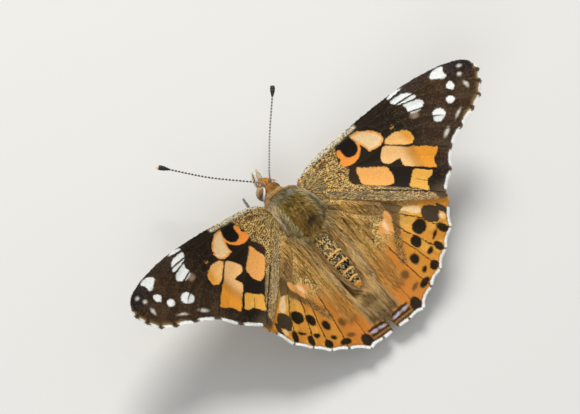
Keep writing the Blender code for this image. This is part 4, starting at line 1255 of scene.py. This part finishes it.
FOLD_TONES = mixed_tones(118, rgb(226, 220, 204), rgb(48, 42, 36), rgb(146, 146, 138), rgb(190, 154, 92))
STRIP_TONES = mixed_tones(113, rgb(170, 150, 112), rgb(120, 100, 72), rgb(206, 188, 144))
ROOT_TONES = mixed_tones(114, rgb(204, 172, 112), rgb(154, 142, 104), rgb(232, 202, 136), rgb(84, 68, 42))
WING_HAIRS = (  # name, plan region, spacing, surface, lie, length, width, degrees of lift, tones
    ("hindwing_hair",
     ((2.2, 3.0), (4.3, 3.8), (6.8, 6.6), (7.2, 8.2), (5.9, 9.9), (5.1, 11.4), (5.6, 14.0), (5.2, 17.4),
      (2.7, 17.6)),
     0.10, hind_skin, hind_lie, lambda y: 1.1 + 0.04 * y, 0.024, 3.0, hind_tones),
    ("hindwing_dark_hair", ((6.8, 6.6), (8.7, 8.2), (9.1, 9.5), (7.8, 10.1), (5.9, 10.2), (6.9, 8.4)),
     0.10, hind_skin, hind_lie, steady(0.7), 0.024, 4.0, dark_tones),
    ("hindwing_fold_hair", ((3.0, 8.0), (3.35, 8.2), (2.95, 15.8), (2.45, 15.8), (2.7, 12.0)),
     0.11, hind_skin, hind_lie, steady(0.42), 0.045, 16.0, FOLD_TONES),
    ("hindwing_inner_hair", ((0.45, 12.5), (1.4, 12.5), (1.3, 20.4), (0.12, 20.4)),
     0.11, hind_skin, slanted(-0.55, 1), steady(1.5), 0.032, 9.0, trough_tones),
    ("hindwing_trough_hair",
     ((1.45, 5.5), (2.9, 5.5), (2.8, 14.0), (2.5, 19.4), (0.35, 19.6), (0.3, 17.5), (1.2, 13.0)),
     0.12, hind_skin, slanted(-0.16, 1), steady(1.5), 0.03, 4.0, trough_tones),
    ("forewing_strip_hair",
     ((3.0, 2.6), (5.0, 3.6), (9.6, 7.6), (13.0, 11.4), (12.2, 11.3), (7.4, 7.0), (4.4, 4.0)),
     0.14, fore_skin, slanted(1, 0.93), steady(0.8), 0.026, 7.0, STRIP_TONES),
    ("forewing_root_hair", ((1.8, 0.9), (3.4, 0.1), (5.0, 0.4), (5.0, 2.8), (3.6, 3.0), (1.9, 2.3)),
     0.14, fore_skin, spread_from(0.2, 0.4), steady(0.9), 0.028, 12.0, ROOT_TONES),
    ("hindwing_root_hair", ((1.8, 2.7), (3.2, 2.9), (4.2, 4.8), (2.6, 7.0), (1.6, 5.6)),
     0.13, hind_skin, spread_from(1.6, 1.0), steady(1.5), 0.03, 14.0, ROOT_TONES),
)


def build_wing_hairs():
    made = marked_material("wing_hair", 0.6, 0.2, 0.01, specular=0.12, shade=0.1)
    for word, side in SIDES:
        for kind, *facts in WING_HAIRS:
            wing_hairs(f"{kind}_{word}", *facts, side, made)


# Tubes: feelers, palps, tongue and legs

def tube(path, radii, sides, flatten=1.0):
    """Points and faces of a tube along a path, closed at its ends, with each point's ring number and UV."""
    path = np.array(path, float)
    steps = unit(np.gradient(path, axis=0))
    across = np.cross(steps[0], (0.0, 0.0, 1.0))
    across = unit(across) if np.linalg.norm(across) > 0.2 else np.array((1.0, 0.0, 0.0))
    rings = []
    turns = 2 * math.pi * (np.arange(sides) + 0.5) / sides
    for place, along, radius in zip(path, steps, radii):
        across = unit(across - along * (across @ along))
        up = np.cross(along, across)
        ring = place + radius * (flatten * np.cos(turns)[:, None] * across + np.sin(turns)[:, None] * up)
        rings.append(ring)
    front = path[:1] - steps[:1] * radii[0] * 0.3
    rear = path[-1:] + steps[-1:] * radii[-1] * 0.4
    points = np.concatenate(rings + [front, rear])
    quads, grid, after = ring_quads(len(path), sides)
    first, last = len(path) * sides, len(path) * sides + 1
    caps = np.vstack([
        np.stack([after[0], grid[0], np.full(sides, first)], axis=1),
        np.stack([grid[-1], after[-1], np.full(sides, last)], axis=1),
    ])
    ring_number = np.concatenate([np.repeat(np.arange(len(path)), sides), [0, len(path) - 1]])
    side_number = np.concatenate([np.tile(np.arange(sides), len(path)), [0, 0]])
    uv = np.stack([0.02 + 0.96 * side_number / sides, 0.02 + 0.96 * ring_number / len(path)], axis=1)
    return points, [quads, caps], ring_number, uv


def round_path(path, at, turn, hint):
    """Directions along a path and out from it at the given places and turns round it."""
    along = unit(np.gradient(path, axis=0))[at]
    across = unit(np.cross(along, hint))
    up = np.cross(across, along)
    return along, np.cos(turn)[:, None] * across + np.sin(turn)[:, None] * up


def both_sides(name, points, faces, made_of, colours, uv):
    for word, side in SIDES:
        piece = make_object(f"{name}_{word}_detail", points, faces, made_of, colours, uv, side)
        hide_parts(f"{name}_{word}")


ANTENNA = (
    (0.48, -2.10, -0.92), (0.60, -2.45, -0.55), (0.95, -3.2, -0.38), (2.6, -4.9, -0.45), (5.8, -8.1, -0.45),
    (9.6, -11.75, 0.55), (10.75, -12.95, 0.72),
)
ANTENNA_BAND = 0.46
ANTENNA_HALF = 0.115
CLUB = 2.0  # length of the thickened end
CLUB_HALF = 0.33
CLUB_TIP = 0.42  # length of its rounded tip


def build_antennae():
    path = curve_through(ANTENNA, 300)
    total = np.linalg.norm(np.diff(path, axis=0), axis=1).sum()
    along = np.linspace(0.0, total, len(path))
    left = total - along
    swell = ramp(CLUB - left, 0.0, 1.25)
    radii = ANTENNA_HALF + (CLUB_HALF - ANTENNA_HALF) * swell
    radii = radii * np.sqrt(np.clip(1 - np.clip((CLUB_TIP - left) / CLUB_TIP, 0, 1) ** 2, 0.06, 1))
    radii[along < 0.35] = 0.15
    radii = radii * (1 + 0.07 * np.cos(2 * math.pi * along / ANTENNA_BAND))
    points, faces, ring, uv = tube(path, radii, 14)
    white = ramp(np.cos(2 * math.pi * along / ANTENNA_BAND), 0.1, 0.6) * (1 - ramp(CLUB - left, -0.1, 0.5))
    white = white * ramp(along, 1.2, 2.6)
    colours = np.tile(rgb(38, 34, 35), (len(path), 1))
    colours = paint(colours, rgb(122, 104, 104), 1 - ramp(along, 1.2, 2.6))
    colours = paint(colours, rgb(226, 216, 214), white * 0.95)
    colours = paint(colours, rgb(30, 29, 29), ramp(CLUB - left, 0.0, 0.6))
    colours = paint(colours, rgb(226, 208, 178), ramp(-left, -0.34, -0.2))
    made = marked_material("antenna_scales", 0.5, 0.08, 0.01, specular=0.35, shade=0.15)
    both_sides("antenna", points, faces, made, colours[ring], uv)


EYE_MIDDLE = (0.84, -2.20, -1.84)
EYE_HALF = (0.90, 1.02, 1.28)
EYE_RING = ((0.98, -2.22, -0.72), (1.20, -1.96, -1.04), (1.50, -1.60, -1.62), (1.42, -1.22, -2.50))

EYE_RING_SCALES = 620


def build_eyes():
    layers, sides = 40, 64
    swell = np.linspace(-0.25, math.pi / 2 - 0.01, layers)
    turn = 2 * math.pi * np.arange(sides) / sides
    lift, angle = (v.ravel() for v in np.meshgrid(swell, turn, indexing="ij"))
    away = np.stack([np.sin(lift), np.cos(lift) * np.cos(angle), np.cos(lift) * np.sin(angle)], axis=1)
    points = np.array(EYE_MIDDLE) + np.array(EYE_HALF) * away
    points = np.vstack([points, np.array(EYE_MIDDLE) + np.array((EYE_HALF[0], 0, 0))])
    quads, grid, after = ring_quads(layers, sides)
    cap = np.stack([grid[-1], after[-1], np.full(sides, layers * sides)], axis=1)
    away = np.vstack([away, [[1.0, 0.0, 0.0]]])
    out, back, rise = away.T
    colours = np.tile(rgb(136, 98, 56), (len(points), 1))
    colours = paint(colours, rgb(190, 160, 110), ramp(-back + 0.3 * out, 0.0, 0.7) * 0.85)
    colours = paint(colours, rgb(58, 38, 22), spot(back, rise, (0.30, 0.05), (0.20, 0.9), -12, 0.12) * 0.85)
    colours = paint(colours, rgb(96, 62, 34), ramp(noise(back * 3, rise * 3, 0.5, 121), 0.5, 0.7) * 0.5)
    uv = np.stack([0.5 + 0.48 * back, 0.5 + 0.48 * rise], axis=1)
    made = marked_material("eye_surface", 0.25, 0.05, 0.006, specular=0.5, shade=0.1)
    both_sides("eye", points, [quads, cap], made, colours, uv)


def build_eye_rings():
    """White crescent of scales behind each eye, with a black dot at its lower end."""
    made = marked_material("eye_ring_scales", 0.7, 0.2, 0.01, specular=0.2, shade=0.06)
    away = unit((curve_through(EYE_RING, LINE_PLACES) - np.array(EYE_MIDDLE)) / np.array(EYE_HALF))
    path = np.array(EYE_MIDDLE) + np.array(EYE_HALF) * away
    tangent = unit(np.gradient(path, axis=0))
    number = np.arange(EYE_RING_SCALES)
    place, layer = scatter(number, 0, 131), scatter(number, 1, 132)
    at = (place * (LINE_PLACES - 1)).astype(int)
    normals = unit((path[at] - np.array(EYE_MIDDLE)) / np.array(EYE_HALF) ** 2)
    behind = unit(np.cross(tangent[at], normals))
    behind = behind * np.sign(behind[:, 1:2])
    wide = 0.08 + 0.16 * np.sin(math.pi * place)
    roots = path[at] + behind * (layer * wide)[:, None] + normals * 0.02
    dot = ramp(place, 0.92, 0.95)
    colours = paint(np.tile(rgb(240, 240, 242), (EYE_RING_SCALES, 1)), rgb(26, 23, 20), dot)
    lie = tangent[at] * 0.7 + behind * 0.3 + random_turn((number, 2), 133) * 0.3
    uv = np.stack([0.1 + 0.8 * place, 0.1 + 0.8 * layer], axis=1)
    tufts_on_both_sides("eye_ring", roots, normals, lie, 0.24, 0.05, 10.0, colours, uv, made, "body_fur")


PALP = (
    (0.44, -3.0, -2.35), (0.45, -3.5, -2.2), (0.44, -3.95, -1.92), (0.40, -4.55, -1.38),
    (0.37, -5.0, -0.88),
)

PALP_HAIRS = 700


def build_palps():
    path = curve_through(PALP, 60)
    share = np.linspace(0, 1, len(path))
    radii = 0.20 + 0.12 * np.sin(math.pi * np.clip(share * 1.25, 0, 1)) - 0.16 * ramp(share, 0.7, 1.0)
    points, faces, ring, uv = tube(path, radii, 16)
    made = marked_material("palp_scales", 0.7, 0.1, 0.01, specular=0.2, shade=0.1)
    offset = points - path[ring]
    outer = offset[:, 0] / np.maximum(np.linalg.norm(offset, axis=1), 1e-6)
    colours = np.tile(rgb(226, 216, 190), (len(points), 1))
    colours = paint(colours, rgb(122, 84, 56), 1 - ramp(np.abs(outer - 0.55), 0.1, 0.35))
    both_sides("palp", points, faces, made, colours, uv)
    number = np.arange(PALP_HAIRS)
    place = scatter(number, 0, 141)
    turn = 2 * math.pi * scatter(number, 1, 142)
    at = (place * (len(path) - 1)).astype(int)
    along, normals = round_path(path, at, turn, (0.0, 0.0, 1.0))
    roots = path[at] + normals * radii[at][:, None] * 0.9
    stripe = 1 - ramp(np.abs(normals[:, 0] - 0.55), 0.12, 0.3)
    colours = paint(np.tile(rgb(232, 222, 196), (PALP_HAIRS, 1)), rgb(96, 70, 50), stripe)
    colours = paint(colours, rgb(150, 106, 70), (scatter(number, 2, 143) > 0.9) * 0.8)
    uv = np.stack([0.05 + 0.9 * place, 0.05 + 0.9 * turn / 6.3], axis=1)
    tufts_on_both_sides("palp_fur", roots, normals, along, 0.34, 0.026, 16.0, colours, uv, made, "palp_pale")


COIL_CENTRE = (0.0, -2.95, -3.70)
COIL_TURNS = 2.6


def build_tongue():
    turn = np.linspace(0.0, 2 * math.pi * COIL_TURNS, 240)
    share = turn / turn[-1]
    radius = 0.62 - 0.46 * share
    start = math.radians(100)
    path = np.stack([
        0.0 * turn,
        COIL_CENTRE[1] + radius * np.cos(start + turn),
        COIL_CENTRE[2] + radius * np.sin(start + turn),
    ], axis=1)
    neck = curve_through(((0.0, -2.45, -2.62), (0.0, -2.75, -2.9), tuple(path[0])), 14)[:-1]
    path = np.vstack([neck, path])
    radii = 0.095 * (1 - 0.35 * np.linspace(0, 1, len(path)))
    points, faces, _, uv = tube(path, radii, 10, 1.5)
    colours = np.tile(rgb(104, 68, 40), (len(points), 1))
    made = marked_material("tongue_horn", 0.35, 0.08, 0.01, specular=0.5, shade=0.2)
    piece = make_object("proboscis_detail", points, faces, made, colours, uv)
    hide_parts("proboscis")


# Legs: root on the thorax in plan, then knee, ankle, and toe on the floor
MIDDLE_LEG = ((1.05, 1.4), (4.5, -0.1, -2.8), (5.7, -1.2, FLOOR + 0.45), (7.6, -2.8, FLOOR + 0.13))
HIND_LEG = ((1.00, 4.2), (4.1, 7.0, -3.2), (5.5, 10.6, FLOOR + 0.45), (6.2, 14.0, FLOOR + 0.13))
FORE_LEG = ((0.80, 0.2), (1.90, 0.0, -5.7), (2.35, -2.2, -4.8), (1.95, -4.3, -4.5))
COXA = 0.95
TARSUS_JOINTS = 5
LEG_HAIRS = 420
BRUSH_HAIRS = 520
LEG_STEPS = (26, 26, 26, 40)  # places along each of the four pieces of a leg
LEG_HALF = ((0.34, 0.30), (0.26, 0.17), (0.15, 0.15), (0.125, 0.10))  # at the start and end of each piece
LEG_TONES = (rgb(150, 130, 104), rgb(120, 100, 78), rgb(176, 134, 84), rgb(170, 118, 66))
BRUSH_TONES = (rgb(150, 130, 104), rgb(130, 112, 98), rgb(156, 138, 140), rgb(150, 132, 140))


def body_underside(x, y):
    middle, wide, high = body_section(y)
    return np.array((x, y, middle - high * (1 - (x / wide) ** BODY_POWER) ** (1 / BODY_POWER)))


def leg_path(corners, skins):
    """Smoothed places along a leg with the half thickness and colour of each."""
    path, radii, tones = [], [], []
    for number, (a, b) in enumerate(zip(corners, corners[1:])):
        toe = number == 3
        thick, thin = LEG_HALF[number]
        for t in np.linspace(0.0, 1.0, LEG_STEPS[number], endpoint=toe):
            path.append(a + (b - a) * t)
            size = thick * (1 - t) + thin * t
            if number == 1:
                size += 0.05 * math.sin(math.pi * t)
            if toe:
                size *= 0.86 + 0.2 * ((t * TARSUS_JOINTS) % 1.0)
            radii.append(size)
            tones.append(skins[number])
    weights = np.array((1, 2, 3, 2, 1)) / 9
    padded = np.pad(path, ((2, 2), (0, 0)), mode="edge")
    path = np.stack([np.convolve(padded[:, i], weights, "valid") for i in range(3)], axis=1)
    return path, np.array(radii), np.array(tones)


def build_leg(name, root_plan, knee, ankle, toe, brush, made):
    root = body_underside(*root_plan)
    outwards = unit(np.array((root_plan[0] * 0.25, 0.0, -1.0)))
    corners = [np.array(v) for v in (root - outwards * 0.1, root + outwards * COXA, knee, ankle, toe)]
    path, radii, tones = leg_path(corners, BRUSH_TONES if brush else LEG_TONES)
    points, faces, ring, uv = tube(path, radii, 12)
    points[:, 2] = np.maximum(points[:, 2], FLOOR + 0.002)
    both_sides(name, points, faces, made, tones[ring], uv)

    # Scales and short spines, with none that would reach into the floor
    number = np.arange(BRUSH_HAIRS if brush else LEG_HAIRS)
    place = scatter(number, 0, 151)
    at = (place * (len(path) - 6)).astype(int)
    turn = 2 * math.pi * scatter(number, 1, 152)
    along, normals = round_path(path, at, turn, (0.3, 0.2, 1.0))
    roots = path[at] + normals * radii[at][:, None] * 0.85
    upper = at < LEG_STEPS[0] + LEG_STEPS[1]
    length = np.where(upper, 0.42, 0.24) * (1.5 if brush else 1.0)
    spine = (~upper) & (scatter(number, 2, 153) > 0.6)
    colours = paint(tones[at] * 1.1, rgb(206, 194, 166), upper * (scatter(number, 3, 154) > 0.4) * 0.8)
    colours = paint(colours, rgb(54, 36, 22), spine * 0.9)
    degrees = np.where(spine, 42.0, 16.0)
    width = np.where(spine, 0.018, 0.03)
    uv = np.stack([0.05 + 0.9 * place, 0.05 + 0.9 * turn / 6.3], axis=1)
    clear = roots[:, 2] + normals[:, 2] * 0.2 > FLOOR + 0.06
    facts = (v[clear] for v in (roots, normals, along, length, width, degrees, colours, uv))
    tufts_on_both_sides(f"{name}_fur", *facts, made, "leg_tan")


def build_legs():
    made = marked_material("leg_scales", 0.6, 0.1, 0.01, specular=0.3, shade=0.2)
    for name, places, brush in (
        ("midleg", MIDDLE_LEG, False), ("hindleg", HIND_LEG, False), ("foreleg", FORE_LEG, True),
    ):
        build_leg(name, *places, brush, made)


# Floor, light and camera

CAMERA_TARGET = (0.136, -3.075, 6.12)
CAMERA_AZIMUTH = 121.09
CAMERA_ELEVATION = 54.78
CAMERA_ROLL = 17.52
CAMERA_DISTANCE = 590.58
CAMERA_LENS = 280.37
FLOOR_HALF = 1.5  # in metres


def build_camera():
    az, el, roll = (math.radians(v) for v in (CAMERA_AZIMUTH, CAMERA_ELEVATION, CAMERA_ROLL))
    backward = Vector((math.cos(el) * math.sin(az), -math.cos(el) * math.cos(az), math.sin(el)))
    level = Vector((math.cos(az), math.sin(az), 0.0))
    right = level * math.cos(roll) + backward.cross(level) * math.sin(roll)
    data = bpy.data.cameras.new("camera")
    data.lens = CAMERA_LENS
    data.sensor_width = 36.0
    data.clip_start = 0.01
    data.clip_end = 20.0
    obj = bpy.data.objects.new("camera", data)
    turn = Matrix((right, backward.cross(right), backward)).transposed()
    place = (Vector(CAMERA_TARGET) + backward * CAMERA_DISTANCE) * MM
    obj.matrix_world = Matrix.Translation(place) @ turn.to_4x4()
    bpy.context.scene.collection.objects.link(obj)
    bpy.context.scene.camera = obj


def build_light(name, place, size, power, colour):
    data = bpy.data.lights.new(name, "AREA")
    data.shape = "DISK"
    data.size = size
    data.energy = power
    data.color = colour
    obj = bpy.data.objects.new(name, data)
    obj.location = place
    obj.rotation_euler = (-Vector(place)).to_track_quat("-Z", "Y").to_euler()
    bpy.context.scene.collection.objects.link(obj)


def build_studio():
    floor_mesh = bpy.data.meshes.new("floor")
    corners = [(x * FLOOR_HALF, y * FLOOR_HALF, 0) for x, y in ((-1, -1), (1, -1), (1, 1), (-1, 1))]
    floor_mesh.from_pydata(corners, [], [(0, 1, 2, 3)])
    made = bpy.data.materials.new("floor_paper")
    made.use_nodes = True
    shader = made.node_tree.nodes["Principled BSDF"]
    shader.inputs["Base Color"].default_value = (0.62, 0.62, 0.60, 1.0)
    shader.inputs["Roughness"].default_value = 0.9
    floor_mesh.materials.append(made)
    floor = bpy.data.objects.new("floor", floor_mesh)
    bpy.context.scene.collection.objects.link(floor)
    world = bpy.data.worlds.new("studio")
    world.use_nodes = True
    sky = world.node_tree.nodes["Background"]
    sky.inputs["Color"].default_value = (1.0, 1.0, 1.0, 1.0)
    sky.inputs["Strength"].default_value = 0.42
    bpy.context.scene.world = world
    build_light("key", (-0.15, -0.35, 0.5), 0.3, 3.7, (1.0, 0.98, 0.95))
    build_light("fill", (0.5, 0.3, 0.4), 0.4, 1.8, (0.95, 0.97, 1.0))
    view = bpy.context.scene.view_settings
    view.view_transform = "Standard"
    view.look = "None"


build_wings()
build_wing_hairs()
build_body_skin()
build_body_coat()
build_eyes()
build_eye_rings()
build_antennae()
build_palps()
build_tongue()
build_legs()
build_studio()
build_camera()
